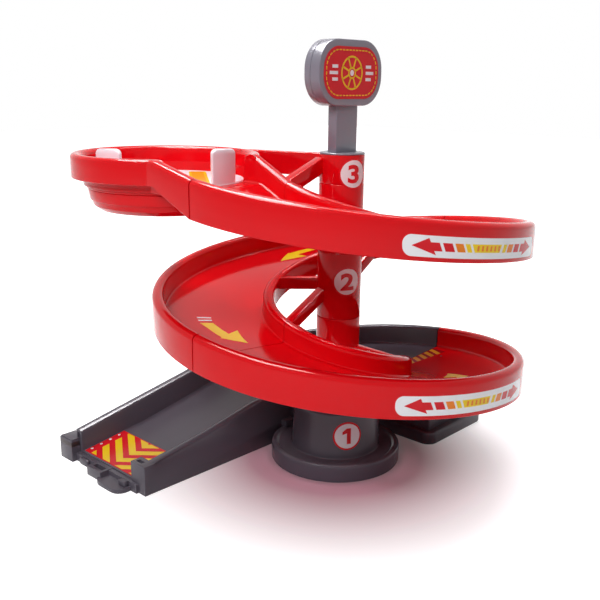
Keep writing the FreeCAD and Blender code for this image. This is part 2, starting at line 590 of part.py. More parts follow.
# The pan's inside from its centre out: recess for the disc, ledge, sloping foot of the wall
PAN_INSIDE = [
    ("0", RECESS_FLOOR), (RECESS_RADIUS, RECESS_FLOOR), (RECESS_RADIUS, "pan_floor_rise"),
    ("pan_foot_radius", "pan_floor_rise"), ("pan_inner_radius", "pan_rim_rise - pan_wall_slope"),
    ("pan_inner_radius", "2 * pan_rim_rise"), ("0", "2 * pan_rim_rise")]
outline(pan_wall, [
    (HOLE, RECESS_FLOOR), *PAN_INSIDE[1:4], ("pan_inner_radius", "pan_rim_rise - pan_wall_slope"),
    *reversed(rim(PAN_OUTSIDE, "pan_inner_radius", "pan_rim_rise")),
    (PAN_OUTSIDE, "pan_rim_rise - pan_band_height"),
    (PAN_OUTSIDE + " - skin", "pan_rim_rise - pan_band_height"),
    (PAN_OUTSIDE + " - skin", "pan_rim_rise - skin"), ("pan_inner_radius + skin", "pan_rim_rise - skin"),
    ("pan_inner_radius + skin", "pan_rim_rise - pan_wall_slope"),
    ("pan_foot_radius + skin", "pan_floor_rise - skin"), (DRUM, "pan_floor_rise - skin"),
    (DRUM, PAN_BOTTOM), (HOLE, PAN_BOTTOM)])
revolve(pan, pan_wall)


def chute_station(distance, inner, outer, rims, skirts, swing=0):
    section = sketch_on(pan, "YZ_Plane", ("0", "0", "-%s" % distance), swing)
    outline(section, lane_section("flange_width", -1, (inner, outer), rims, skirts))
    return section


# The chute runs level out of the pan, then its rims and skirts fall evenly to the seam
BAND = "(pan_rim_rise - pan_band_height)"
FALLEN = "(1 - chute_flat / chute_knee)"
level = ("pan_rim_rise", "pan_rim_rise")
middle_inner = "pan_rim_rise - (pan_rim_rise - %s) * %s * inner_rim_lag" % (INNER_RIM, FALLEN)
middle_outer = "pan_rim_rise - (pan_rim_rise - %s) * %s" % (OUTER_RIM, FALLEN)
middle_skirt = "%s - (%s + skirt_drop) * %s" % (BAND, BAND, FALLEN)
stations = [
    chute_station("chute_length", "pan_floor_rise", "pan_floor_rise", level, (BAND, BAND)),
    chute_station("chute_knee", "pan_floor_rise", "pan_floor_rise", level, (BAND, BAND)),
    chute_station("chute_flat", "pan_floor_rise", "pan_floor_rise", (middle_inner, middle_outer),
                  (middle_skirt, middle_skirt)),
    chute_station("0", "0", "bank_rise", (INNER_RIM, OUTER_RIM), ("-skirt_drop", "-skirt_drop"),
                  swing=-value("seam_angle")),
]
chute = pan.newObject("PartDesign::AdditiveLoft", "Chute")
chute.Profile = stations[0]
chute.Sections = stations[1:]
chute.Ruled = True

# Opening from the pan into the chute, the clear inside of the pan, and the turntable's recess
gate = sketch_on(pan, "XY_Plane", ("0", "0", "pan_floor_rise"))
outline(gate, [
    ("-pan_offset_x", "-" + LANE_END), ("-pan_offset_x + %s + overlap" % PAN_OUTSIDE, "-" + LANE_END),
    ("-pan_offset_x + %s + overlap" % PAN_OUTSIDE, "-lane_inner_radius"), ("-pan_offset_x", "-lane_inner_radius")])
pad(pan, gate, "2 * pan_rim_rise", cut=True)
inside = sketch_on(pan, "XZ_Plane", ("-pan_offset_x", "0", "pan_offset_y"))
outline(inside, PAN_INSIDE)
revolve(pan, inside, cut=True)
bore = sketch_on(pan, "XZ_Plane")
outline(bore, [("0", "sleeve_rise"), (BORE, "sleeve_rise"), (BORE, "pan_rim_rise"), ("0", "pan_rim_rise")])
revolve(pan, bore, cut=True)
place(pan, z=PAN_LEVEL)


# Cover under the pan: a two-tier bowl with three screw bosses
cover = new_body("pan_under_cover")
sketch = sketch_on(cover, "XZ_Plane")
COVER_FLOOR = "(%s - cover_depth)" % COVER_TOP
outline(sketch, [
    ("0", COVER_FLOOR), ("cover_step_radius - cover_taper - cover_edge", COVER_FLOOR),
    ("cover_step_radius - cover_taper", COVER_FLOOR + " + cover_edge / 2"),
    ("cover_step_radius", COVER_FLOOR + " + cover_step"),
    ("cover_radius - cover_taper", COVER_FLOOR + " + cover_step"),
    ("cover_radius", COVER_TOP), ("cover_radius - cover_wall", COVER_TOP),
    ("cover_radius - cover_taper - cover_wall", COVER_FLOOR + " + cover_step + cover_wall"),
    ("cover_step_radius - cover_wall", COVER_FLOOR + " + cover_step + cover_wall"),
    ("cover_step_radius - cover_taper - cover_wall", COVER_FLOOR + " + cover_edge / 2 + cover_wall"),
    ("cover_step_radius - cover_taper - cover_edge", COVER_FLOOR + " + cover_wall"),
    ("0", COVER_FLOOR + " + cover_wall")])
revolve(cover, sketch)
STUB_FOOT = "(%s - stub_length)" % PAN_BOTTOM
COVER_SCREWS = [90, 210, 330]
BOSS_HOLE = "(screw_radius + fit_clearance)"


def around(angle, x="0", y="0"):
    """X and Y texts of a screw's place on its circle round a point."""
    return ("%s + cover_screw_circle * cos(%d)" % (x, angle), "%s + cover_screw_circle * sin(%d)" % (y, angle))


def ring_of_circles(body, level, radius, x="0", y="0"):
    sketch = sketch_on(body, "XY_Plane", ("0", "0", level))
    for angle in COVER_SCREWS:
        circle(sketch, *around(angle, x, y), radius)
    return sketch


pad(cover, ring_of_circles(cover, COVER_FLOOR + " + cover_wall / 2", "boss_radius"),
    "%s - fit_clearance - %s - cover_wall / 2" % (STUB_FOOT, COVER_FLOOR))
pad(cover, ring_of_circles(cover, COVER_FLOOR, BOSS_HOLE), "cover_depth", cut=True)
place(cover, "-pan_offset_x", "-pan_offset_y", PAN_LEVEL)

# Bosses under the pan that meet those of the cover
PAN_CENTRE = ("-pan_offset_x", "-pan_offset_y")
pad(pan, ring_of_circles(pan, STUB_FOOT, "boss_radius", *PAN_CENTRE), "stub_length + skin / 2")
pad(pan, ring_of_circles(pan, STUB_FOOT, BOSS_HOLE, *PAN_CENTRE), "stub_length", cut=True)


def screw(x, y, z, length, tilt=None):
    """A small pan-head screw, head at the given place and shank along the tilted +Z."""
    head = doc.addObject("Part::Cylinder", "ScrewHead")
    head.setExpression("Radius", bound("screw_head_radius"))
    head.setExpression("Height", bound("screw_head_height"))
    head.setExpression("Placement.Base.z", bound("-screw_head_height"))
    shank = doc.addObject("Part::Cylinder", "ScrewShank")
    shank.setExpression("Radius", bound("screw_radius"))
    shank.setExpression("Height", bound(length))
    blade = doc.addObject("Part::Box", "ScrewSlot")
    blade.setExpression("Length", bound("2 * screw_radius"))
    blade.setExpression("Width", bound("screw_slot"))
    blade.setExpression("Height", bound("screw_slot"))
    blade.setExpression("Placement.Base.x", bound("-screw_radius"))
    blade.setExpression("Placement.Base.y", bound("-screw_slot / 2"))
    blade.setExpression("Placement.Base.z", bound("-screw_head_height"))
    whole = doc.addObject("Part::MultiFuse", "ScrewWhole")
    whole.Shapes = [head, shank]
    slotted = doc.addObject("Part::Cut", "Screw")
    slotted.Base = whole
    slotted.Tool = blade
    place(slotted, x, y, z)
    if tilt:
        slotted.Placement = Placement(slotted.Placement.Base, tilt)
    return slotted


def screw_group(label, screws):
    group = doc.addObject("Part::Compound", label)
    group.Links = screws
    return add_node(label, group)


screw_group("cover_screws", [
    screw(*around(angle, *PAN_CENTRE), PAN_LEVEL + " + " + COVER_FLOOR,
          "%s - %s - fit_clearance" % (PAN_BOTTOM, COVER_FLOOR)) for angle in COVER_SCREWS])


# White turntable: disc, two rounded guard blocks at its edge, and a spindle through the pan's floor
turntable = new_body("turntable")
WASHER_TOP = "(%s - fit_clearance)" % PAN_BOTTOM
disc = sketch_on(turntable, "XY_Plane", ("0", "0", DISC_TOP))
circle(disc, "0", "0", "turntable_radius")
pad(turntable, disc, "turntable_thickness", back=True)
spindle = sketch_on(turntable, "XY_Plane", ("0", "0", DISC_TOP))
circle(spindle, "0", "0", "spindle_radius")
pad(turntable, spindle, "%s - %s" % (DISC_TOP, WASHER_TOP), back=True)
for side in (1, -1):
    wall = sketch_on(turntable, "XY_Plane", ("0", "0", DISC_TOP + " - turntable_thickness / 2"))
    near = "%d * guard_gap / 2" % side
    far = "%d * turntable_radius" % side
    outline(wall, [("guard_back", near, "guard_round"), ("turntable_radius", near), ("turntable_radius", far),
                   ("guard_back", far)])
    pad(turntable, wall, "guard_height + turntable_thickness / 2")
trim = sketch_on(turntable, "XY_Plane", ("0", "0", DISC_TOP + " - turntable_thickness"))
circle(trim, "0", "0", "turntable_radius")
circle(trim, "0", "0", "2 * turntable_radius")
pad(turntable, trim, "2 * guard_height", cut=True)
doc.recompute()
trimmed = turntable.Tip
rounding = turntable.newObject("PartDesign::Fillet", "GuardRounding")
rounding.Base = (trimmed, top_edges(trimmed, DISC_TOP + " + guard_height"))
rounding.setExpression("Radius", bound("guard_round * 0.8"))
thread = sketch_on(turntable, "XY_Plane", ("0", "0", WASHER_TOP))
circle(thread, "0", "0", BOSS_HOLE)
pad(turntable, thread, "turntable_thickness + skin", cut=True)
place(turntable, "-pan_offset_x", "-pan_offset_y", PAN_LEVEL, turn=-value("turntable_turn"))

washer = new_body("turntable_washer")
sketch = sketch_on(washer, "XY_Plane", ("0", "0", WASHER_TOP))
circle(sketch, "0", "0", "washer_radius")
circle(sketch, "0", "0", BOSS_HOLE)
pad(washer, sketch, "washer_thickness", back=True)
place(washer, "-pan_offset_x", "-pan_offset_y", PAN_LEVEL)

pivot = screw("-pan_offset_x", "-pan_offset_y", "%s + %s - washer_thickness" % (PAN_LEVEL, WASHER_TOP),
              "washer_thickness + turntable_thickness + skin")
add_node("turntable_screw", pivot)

# Two striped tracks printed beside the guard blocks
label = new_body("turntable_label")
sketch = sketch_on(label, "XY_Plane", ("0", "0", DISC_TOP))
for side in (1, -1):
    outer = "%d * (guard_gap / 2 - strip_margin)" % side
    inner = "%d * (guard_gap / 2 - strip_margin - strip_width)" % side
    outline(sketch, [("-strip_length / 2", inner, "strip_corner"), ("strip_length / 2", inner, "strip_corner"),
                     ("strip_length / 2", outer, "strip_corner"), ("-strip_length / 2", outer, "strip_corner")])
pad(label, sketch, "label_thickness")
place(label, "-pan_offset_x", "-pan_offset_y", PAN_LEVEL, turn=-value("turntable_turn"))


# Sign: cap with its plug and post in one piece, two shells, two screws and a printed label
post = new_body("sign_post")
sketch = sketch_on(post, "XY_Plane")
circle(sketch, "0", "0", SPIGOT)
pad(post, sketch, "cap_plug_length", back=True)
sketch = sketch_on(post, "XY_Plane")
circle(sketch, "0", "0", "column_radius")
pad(post, sketch, "cap_thickness")
sketch = sketch_on(post, "XY_Plane")
outline(sketch, [("-post_depth / 2", "-post_width / 2", "post_round"),
                 ("post_depth / 2", "-post_width / 2", "post_round"),
                 ("post_depth / 2", "post_width / 2", "post_round"),
                 ("-post_depth / 2", "post_width / 2", "post_round")])
pad(post, sketch, "cap_thickness + post_height + tang_height")
place(post, z=HUB_TOP)

FRONT_FACE = "(sign_depth / 2)"
SPLIT = "(sign_depth / 2 - sign_front_depth)"
SIGN_SCREWS = ["-1", "1"]


def sign_plate(body, level, inset):
    """Outline of the sign at one level of X, drawn in from its edge."""
    sketch = sketch_on(body, "YZ_Plane", ("0", "0", level))
    side = "sign_width / 2 - %s" % inset
    corner = "(sign_corner - %s)" % inset
    outline(sketch, [("-(%s)" % side, "%s" % inset, corner), (side, "%s" % inset, corner),
                     (side, "sign_height - %s" % inset, corner),
                     ("-(%s)" % side, "sign_height - %s" % inset, corner)])
    return sketch


def post_slot(body, level, length):
    """Slot for the post in the bottom of a shell."""
    sketch = sketch_on(body, "YZ_Plane", ("0", "0", level))
    side = "(post_width / 2 + fit_clearance)"
    outline(sketch, [("-" + side, "-overlap"), (side, "-overlap"), (side, "sign_wall + overlap"),
                     ("-" + side, "sign_wall + overlap")])
    return pad(body, sketch, length, cut=True)


front = new_body("sign_front_shell")
pad(front, sign_plate(front, SPLIT, "0"), "sign_front_depth")
pad(front, sign_plate(front, SPLIT, "sign_wall"), "sign_front_depth - sign_wall", cut=True)
post_slot(front, SPLIT, "post_depth / 2 + fit_clearance - " + SPLIT)
back = new_body("sign_back_shell")
pad(back, sign_plate(back, "-" + FRONT_FACE, "0"), "sign_depth - sign_front_depth")
pad(back, sign_plate(back, "-%s + sign_wall" % FRONT_FACE, "sign_wall"), "sign_depth", cut=True)
post_slot(back, "-post_depth / 2 - fit_clearance", "sign_depth")
for side in SIGN_SCREWS:
    boss = sketch_on(back, "YZ_Plane", ("0", "0", "-" + FRONT_FACE))
    circle(boss, side + " * sign_width / 4", "sign_screw_height", "boss_radius")
    pad(back, boss, "sign_depth - sign_wall - fit_clearance")
    hole = sketch_on(back, "YZ_Plane", ("0", "0", "-" + FRONT_FACE))
    circle(hole, side + " * sign_width / 4", "sign_screw_height", BOSS_HOLE)
    pad(back, hole, "sign_depth", cut=True)
place(front, z=SIGN_BASE)
place(back, z=SIGN_BASE)
along_x = Rotation(Vector(0, 0, 1), Vector(1, 0, 0))
screw_group("sign_screws", [
    screw("-" + FRONT_FACE, side + " * sign_width / 4", SIGN_BASE + " + sign_screw_height",
          "sign_depth - sign_wall - fit_clearance", tilt=along_x) for side in SIGN_SCREWS])

sign_label = new_body("sign_label")
pad(sign_label, sign_plate(sign_label, FRONT_FACE, "label_margin"), "label_thickness")
place(sign_label, z=SIGN_BASE)


def label_patch(label, shell, reach, size, height, angle):
    """The round patch of a thin shell about Z that faces the given direction."""
    punch = doc.addObject("Part::Cylinder", "LabelPunch")
    punch.setExpression("Radius", bound(size))
    punch.setExpression("Height", bound("2 * %s" % reach))
    outward = Vector(value("cos(%s)" % angle), -value("sin(%s)" % angle), 0)
    punch.Placement = Placement(Vector(), Rotation(Vector(0, 0, 1), outward))
    punch.setExpression("Placement.Base.z", bound(height))
    patch = doc.addObject("Part::Common", label)
    patch.Base = shell
    patch.Tool = punch
    return add_node(label, patch)


def cone(lower, upper, bottom, height):
    made = doc.addObject("Part::Cone", "LabelCone")
    for field, text in (("Radius1", lower), ("Radius2", upper), ("Height", height)):
        made.setExpression(field, bound(text))
    return place(made, z=bottom)


def thin_shell(lower, upper, bottom, height):
    """A shell as thick as a label round the surface of a cylinder or cone."""
    shell = doc.addObject("Part::Cut", "LabelShell")
    shell.Base = cone(lower + " + label_thickness", upper + " + label_thickness", bottom, height)
    shell.Tool = cone(lower, upper, bottom, height)
    return shell


# Round number labels on the column and on the pedestal's tapered wall
for label, height, angle in (
        ("number_label_three", PAN_LEVEL + " + label_three_rise", "label_three_angle"),
        ("number_label_two", "exit_floor_height + half_turn_drop + label_two_rise", "label_two_angle")):
    sleeve = thin_shell("column_radius", "column_radius", height + " - 2 * number_radius", "4 * number_radius")
    label_patch(label, sleeve, "column_radius", "number_radius", height, angle)
WALL_FOOT = "(foot_height - foot_dish)"
wall = thin_shell("bowl_radius", "bowl_top_radius", WALL_FOOT, "bowl_shoulder - " + WALL_FOOT)
label_patch("number_label_one", wall, "bowl_radius", "number_radius", "label_one_height", "label_one_angle")

# Chevron label on the ramp's floor at its mouth
ramp_label = new_body("ramp_label")
SLOPE = "((ramp_waist_height - ramp_mouth_height) / (ramp_length - ramp_waist))"
sketch = sketch_on(ramp_label, "YZ_Plane", ("0", "0", "-%s + ramp_label_inset" % LANE_END))
reaches = ("ramp_label_inset", "(ramp_label_inset + ramp_label_length)")
foot, crown = [("-ramp_length + " + reach, "ramp_mouth_height + %s * %s" % (SLOPE, reach)) for reach in reaches]
outline(sketch, [foot, crown, (crown[0], crown[1] + " + label_thickness"),
                 (foot[0], foot[1] + " + label_thickness")])
pad(ramp_label, sketch, "ramp_label_width")

doc.recompute()


def check(made):
    if made.State and ("Invalid" in made.State or "Error" in made.State):
        raise RuntimeError("%s (%s) failed: %s" % (made.Label, made.Name, made.State))


for made in doc.Objects:
    check(made)
os.makedirs("parts", exist_ok=True)
for made in nodes:
    shape = made.Shape
    if shape.isNull() or not shape.isValid():
        raise RuntimeError("%s has no valid shape" % made.Label)
    box = shape.BoundBox
    print("%s: solids %d, X %.1f to %.1f, Y %.1f to %.1f, Z %.1f to %.1f" % (
        made.Label, len(shape.Solids), box.XMin, box.XMax, box.YMin, box.YMax, box.ZMin, box.ZMax))
    shape.exportStep("parts/%s.step" % made.Label)
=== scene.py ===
import math

import bmesh
import bpy
from mathutils import Matrix, Vector


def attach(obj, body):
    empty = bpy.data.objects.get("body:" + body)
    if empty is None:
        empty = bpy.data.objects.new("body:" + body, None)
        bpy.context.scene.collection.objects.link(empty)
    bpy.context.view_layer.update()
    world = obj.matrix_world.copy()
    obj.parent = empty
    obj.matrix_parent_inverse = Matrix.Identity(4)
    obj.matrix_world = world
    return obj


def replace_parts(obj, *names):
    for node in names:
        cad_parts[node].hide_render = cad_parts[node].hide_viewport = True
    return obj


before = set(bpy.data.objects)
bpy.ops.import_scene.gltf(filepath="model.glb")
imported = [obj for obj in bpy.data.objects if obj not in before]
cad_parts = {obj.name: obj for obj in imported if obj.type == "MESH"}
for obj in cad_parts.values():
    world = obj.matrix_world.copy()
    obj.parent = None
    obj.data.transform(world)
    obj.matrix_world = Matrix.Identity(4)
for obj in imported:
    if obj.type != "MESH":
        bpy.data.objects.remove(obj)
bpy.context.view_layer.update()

MM = 0.001

# Main sizes in millimetres and degrees, as in the construction.
# A heading is counted from -Y towards +X, and goes on counting through every turn of the lane.
HALF_TURN_DROP = 37
DROP_PER_DEGREE = HALF_TURN_DROP / 180
SEAM, SEAM_GAP = 2, 0.45
CURVE_LEVEL = 41
TOP = CURVE_LEVEL + 3 * HALF_TURN_DROP
INNER, OUTER, FLANGE, SKIN = 42.5, 97, 6.2, 2
INNER_WALL, OUTER_RIM, BANK, SKIRT = 11, 16.5, 4, -2
LANE_WIDTH = OUTER - INNER
HUB_SIDE, BAND_RADIUS = INNER - FLANGE, OUTER + FLANGE
COLUMN = 12.2
PAN_X, PAN_Y = -67.8, -65.3
REST_TURN = -38


def floor_level(heading):
    """Lane floor at its inner edge."""
    return TOP - DROP_PER_DEGREE * (heading + SEAM)


# Materials
CLOUD_SCALE, SMEAR_SCALE = 22, 60
NOISE_SPAN = (0.3, 0.7)
SMEAR_LOW, SMEAR_HIGH = 0.97, 1.04
GRAIN_DEPTH = 0.0002


def map_range(tree, source, span, result=(0, 1)):
    """A node that carries one span of values to another."""
    made = tree.nodes.new("ShaderNodeMapRange")
    made.inputs["From Min"].default_value, made.inputs["From Max"].default_value = span
    made.inputs["To Min"].default_value, made.inputs["To Max"].default_value = result
    tree.links.new(source, made.inputs["Value"])
    return made.outputs["Result"]


def combine(tree, operation, first, second):
    """A math node on two sockets."""
    made = tree.nodes.new("ShaderNodeMath")
    made.operation = operation
    tree.links.new(first, made.inputs[0])
    tree.links.new(second, made.inputs[1])
    return made.outputs["Value"]


def colour_mix(tree, factor, first, second):
    """A node that mixes two (red, green, blue) colours."""
    made = tree.nodes.new("ShaderNodeMix")
    made.data_type = "RGBA"
    made.inputs["A"].default_value = (*first, 1)
    made.inputs["B"].default_value = (*second, 1)
    tree.links.new(factor, made.inputs["Factor"])
    return made.outputs["Result"]


def node_material(name, colour, roughness, grain, grain_size, shade=0.04, metal=0.0, gloss=0.5):
    """A moulded or printed surface: a base colour with faint clouding, slightly uneven roughness and a
    fine skin texture. grain is the strength of that texture and grain_size its size in millimetres."""
    material = bpy.data.materials.new(name)
    material.use_nodes = True
    tree = material.node_tree
    shader = tree.nodes["Principled BSDF"]
    shader.inputs["Metallic"].default_value = metal
    shader.inputs["Specular IOR Level"].default_value = gloss
    place = tree.nodes.new("ShaderNodeTexCoord")

    def noise(scale, detail):
        made = tree.nodes.new("ShaderNodeTexNoise")
        made.inputs["Scale"].default_value = scale
        made.inputs["Detail"].default_value = detail
        tree.links.new(place.outputs["Object"], made.inputs["Vector"])
        return made.outputs["Fac"]

    darker = [part * (1 - shade) for part in colour]
    lighter = [min(1, part * (1 + shade)) for part in colour]
    clouded = colour_mix(tree, noise(CLOUD_SCALE, 2.0), darker, lighter)
    tree.links.new(clouded, shader.inputs["Base Color"])
    uneven = (roughness * SMEAR_LOW, roughness * SMEAR_HIGH)
    smeared = map_range(tree, noise(SMEAR_SCALE, 3.0), NOISE_SPAN, uneven)
    tree.links.new(smeared, shader.inputs["Roughness"])
    bump = tree.nodes.new("ShaderNodeBump")
    bump.inputs["Strength"].default_value = grain
    bump.inputs["Distance"].default_value = GRAIN_DEPTH
    tree.links.new(noise(1 / (grain_size * MM), 1.0), bump.inputs["Height"])
    tree.links.new(bump.outputs["Normal"], shader.inputs["Normal"])
    return material


def ink(name, colour, shade=0.03, gloss=0.2):
    """A printed colour."""
    return node_material(name, colour, 0.22, 0.03, 2.0, shade=shade, gloss=gloss)


RED = node_material("glossy_red_plastic", (0.69, 0.002, 0.006), 0.10, 0.03, 3.0, gloss=0.14)
GREY = node_material("satin_grey_plastic", (0.085, 0.073, 0.094), 0.26, 0.02, 2.5, shade=0.02, gloss=0.24)
SIGN_GREY = node_material("sign_grey_plastic", (0.2, 0.19, 0.235), 0.26, 0.02, 2.5, shade=0.02)
WHITE = node_material("white_plastic", (0.9, 0.84, 0.92), 0.3, 0.08, 1.2, shade=0.02)
STEEL = node_material("screw_steel", (0.55, 0.55, 0.56), 0.32, 0.2, 0.4, metal=1.0)
PRINT_WHITE = ink("printed_white", (0.84, 0.83, 0.86), shade=0.01, gloss=0.5)
PRINT_RED = ink("printed_red", (0.68, 0.01, 0.018), gloss=0.15)
# A darker red: painted shade under the end stripes
PAINTED_SHADE_RED = ink("painted_shade_red", (0.35, 0.004, 0.01), gloss=0.15)
PRINT_YELLOW = ink("printed_yellow", (0.9, 0.62, 0.01))
PRINT_AMBER = ink("printed_amber", (0.86, 0.4, 0.02))
PRINT_ORANGE = ink("printed_orange", (0.86, 0.22, 0.01))
# Near-black: painted shade in the connector's slot, the ramp's hole and the seams' gaps, and a small dark dot
# on the lane
PAINTED_SHADE_AND_DOT = node_material("painted_shade_and_dark_dot", (0.02, 0.008, 0.01), 0.5, 0.05, 1.0)


# Mesh helpers: welding distances are in metres, and angles in degrees
TINY = 1e-9
WELD, COPY_WELD = 1e-7, 2e-6
SMOOTH_ANGLE, PRINT_ANGLE, COPY_ANGLE = 38, 30, 42
STRAIGHT, FLAT = 176, 1
PRISM_EDGE, COPY_EDGE = 25, 28
EDGE_SHARE = 0.499


def finish_mesh(name, mesh_data, material, body="frame", angle=SMOOTH_ANGLE):
    """Turns a bmesh into a piece that rides on a body. Faces that meet at less than the angle shade as
    one smooth surface."""
    bmesh.ops.remove_doubles(mesh_data, verts=mesh_data.verts, dist=WELD)
    bmesh.ops.recalc_face_normals(mesh_data, faces=mesh_data.faces)
    mesh = bpy.data.meshes.new(name)
    mesh_data.to_mesh(mesh)
    mesh_data.free()
    mesh.materials.append(material)
    for face in mesh.polygons:
        face.use_smooth = True
    mesh.set_sharp_from_angle(angle=math.radians(angle))
    piece = bpy.data.objects.new(name, mesh)
    bpy.context.scene.collection.objects.link(piece)
    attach(piece, body)
    return piece


def rounded(corners, steps=5):
    """A closed outline of (x, y) or (x, y, radius) corners with its corners rounded."""
    spots = [Vector(corner[:2]) for corner in corners]
    made = []
    for index, corner in enumerate(corners):
        here = spots[index]
        back = spots[index - 1] - here
        ahead = spots[(index + 1) % len(spots)] - here
        radius = corner[2] if len(corner) > 2 else 0
        sharp = radius <= 0 or back.length < TINY or ahead.length < TINY
        if sharp or back.angle(ahead) > math.radians(STRAIGHT):
            made.append(tuple(here))
            continue
        angle = back.angle(ahead)
        reach = min(radius / math.tan(angle / 2), back.length * EDGE_SHARE, ahead.length * EDGE_SHARE)
        radius = reach * math.tan(angle / 2)
        start = here + back.normalized() * reach
        end = here + ahead.normalized() * reach
        inward = (back.normalized() + ahead.normalized()).normalized()
        centre = here + inward * (radius / math.sin(angle / 2))
        low = math.atan2(start.y - centre.y, start.x - centre.x)
        high = math.atan2(end.y - centre.y, end.x - centre.x)
        sweep = (high - low + math.pi) % (2 * math.pi) - math.pi
        for step in range(steps + 1):
            turn = low + sweep * step / steps
            made.append((centre.x + radius * math.cos(turn), centre.y + radius * math.sin(turn)))
    return made


def skin_loops(mesh_data, loops, closed=False):
    """Joins equal closed loops of 3-D points, in millimetres, into one skin. It is a ring where closed,
    and otherwise has a cap at each end."""
    rings = [[mesh_data.verts.new(Vector(point) * MM) for point in loop] for loop in loops]
    count = len(rings[0])
    pairs = list(zip(rings, rings[1:]))
    if closed:
        pairs.append((rings[-1], rings[0]))
    for first, second in pairs:
        for index in range(count):
            other = (index + 1) % count
            mesh_data.faces.new((first[index], first[other], second[other], second[index]))
    if not closed:
        mesh_data.faces.new(rings[0])
        mesh_data.faces.new(list(reversed(rings[-1])))


def revolved(mesh_data, outline, x=0.0, y=0.0, z=0.0, steps=160):
    """A closed outline of (radius, level) turned round an upright axis."""
    loops = []
    for step in range(steps):
        turn = 2 * math.pi * step / steps
        loops.append([(x + r * math.cos(turn), y + r * math.sin(turn), z + level) for r, level in outline])
    skin_loops(mesh_data, loops, closed=True)


def round_edges(mesh_data, edges, reach, segments=3, clamp=True):
    """Rounds edges by reach, in millimetres, and by less where there is no room and clamp is set."""
    bmesh.ops.bevel(mesh_data, geom=edges, offset=reach * MM, segments=segments, profile=0.5,
                    affect="EDGES", clamp_overlap=clamp)


def prism(mesh_data, outline, place, depth, reach):
    """An outline swept straight, its edges rounded by reach. place maps (u, v, w) to a point."""
    made = bmesh.new()
    rings = []
    for level in (0, depth):
        rings.append([made.verts.new(Vector(place(u, v, level)) * MM) for u, v in outline])
    count = len(outline)
    for index in range(count):
        other = (index + 1) % count
        made.faces.new((rings[0][index], rings[0][other], rings[1][other], rings[1][index]))
    made.faces.new(list(reversed(rings[0])))
    made.faces.new(rings[1])
    bmesh.ops.recalc_face_normals(made, faces=made.faces)
    sharp = [edge for edge in made.edges if edge.calc_face_angle(0) > math.radians(PRISM_EDGE)]
    round_edges(made, sharp, reach)
    moved = {}
    for vert in made.verts:
        moved[vert] = mesh_data.verts.new(vert.co)
    for face in made.faces:
        mesh_data.faces.new([moved[vert] for vert in face.verts])
    made.free()


def block(mesh_data, low, high, reach, corner=0.0):
    """A box between two corners, its edges rounded by reach and its upright ones also by corner."""
    outline = rounded([(low[0], low[1], corner), (high[0], low[1], corner), (high[0], high[1], corner),
                       (low[0], high[1], corner)], 8)
    prism(mesh_data, outline, lambda u, v, w: (u, v, low[2] + w), high[2] - low[2], reach)


def rounded_copy(node, name, material, reach, corners):
    """A copy of a CAD solid with its sharp edges rounded, which stands for it. corners are the
    (x, y, top, reach) of upright edges that are rounded more."""
    near = 0.3
    made = bmesh.new()
    made.from_mesh(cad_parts[node].data)
    bmesh.ops.remove_doubles(made, verts=made.verts, dist=COPY_WELD)
    bmesh.ops.dissolve_limit(made, angle_limit=math.radians(FLAT), verts=made.verts, edges=made.edges)
    for x, y, top, more in corners:
        upright = [edge for edge in made.edges if all(
            abs(vert.co.x / MM - x) < near and abs(vert.co.y / MM - y) < near and vert.co.z / MM < top + near
            for vert in edge.verts)]
        round_edges(made, upright, more, 6, clamp=False)
    sharp = [edge for edge in made.edges
             if edge.is_manifold and edge.calc_face_angle(0) > math.radians(COPY_EDGE)]
    round_edges(made, sharp, reach)
    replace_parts(finish_mesh(name, made, material, angle=COPY_ANGLE), node)


# Lane
RIM_ROUND, RIM_BACK = 3.4, 2.4
FOLD, FOLD_INSIDE, EDGE, FILLET = 0.8, 0.3, 0.5, 1.3
HELIX_STEP = 1.5


def lane_outline(inner=0.0, outer=BANK, low=INNER_WALL, high=OUTER_RIM, skirt=SKIRT, floor_steps=6):
    """Section across a lane as (radius, level): folded inner wall, floor, folded outer wall. inner and
    outer are the floor's edges, low and high the tops of the walls."""
    upper = []
    for step in range(1, floor_steps):
        upper.append((OUTER + (INNER - OUTER) * step / floor_steps,
                      outer + (inner - outer) * step / floor_steps))
    return rounded([
        (HUB_SIDE, skirt, EDGE), (HUB_SIDE + SKIN, skirt, EDGE), (HUB_SIDE + SKIN, low - SKIN, FOLD),
        (INNER - SKIN, low - SKIN, FOLD_INSIDE), (INNER - SKIN, inner - SKIN, FOLD),
        (OUTER + SKIN, outer - SKIN, FOLD), (OUTER + SKIN, high - SKIN, FOLD_INSIDE),
        (BAND_RADIUS - SKIN, high - SKIN, FOLD), (BAND_RADIUS - SKIN, skirt, EDGE),
        (BAND_RADIUS, skirt, EDGE), (BAND_RADIUS, high, RIM_ROUND), (OUTER, high, RIM_BACK),
        (OUTER, outer, FILLET), *upper, (INNER, inner, FILLET), (INNER, low, RIM_ROUND),
        (HUB_SIDE, low, RIM_BACK)])


def at_heading(radius, heading, level):
    """A point at a radius and a heading round the column."""
    turn = math.radians(heading)
    return (radius * math.sin(turn), -radius * math.cos(turn), level)


def helix(mesh_data, start, end):
    """A lane from one heading to another."""
    outline = lane_outline()
    count = int(math.ceil((end - start) / HELIX_STEP))
    loops = []
    for index in range(count + 1):
        heading = start + (end - start) * index / count
        base = floor_level(heading)
        loops.append([at_heading(r, heading, base + level) for r, level in outline])
    skin_loops(mesh_data, loops)


# Arms and sleeves
ARM_WIDTH, ARM_DEPTH, ARM_ROUND = 6.0, 7.0, 0.7
ARM_START, ARM_REACH = COLUMN - 1.1, HUB_SIDE + 1
ARM_TIP = 2.8
MIDDLE_ARM = 107
LOW_ROOT, MIDDLE_ROOT, HIGH_ROOT = 17.3, 21, 22
SLEEVE_FOOT, SLEEVE_WALL = 7.5, 2.2
SPIGOT, SPIGOT_GAP, SPIGOT_WALL = 8, 0.1, 2.2


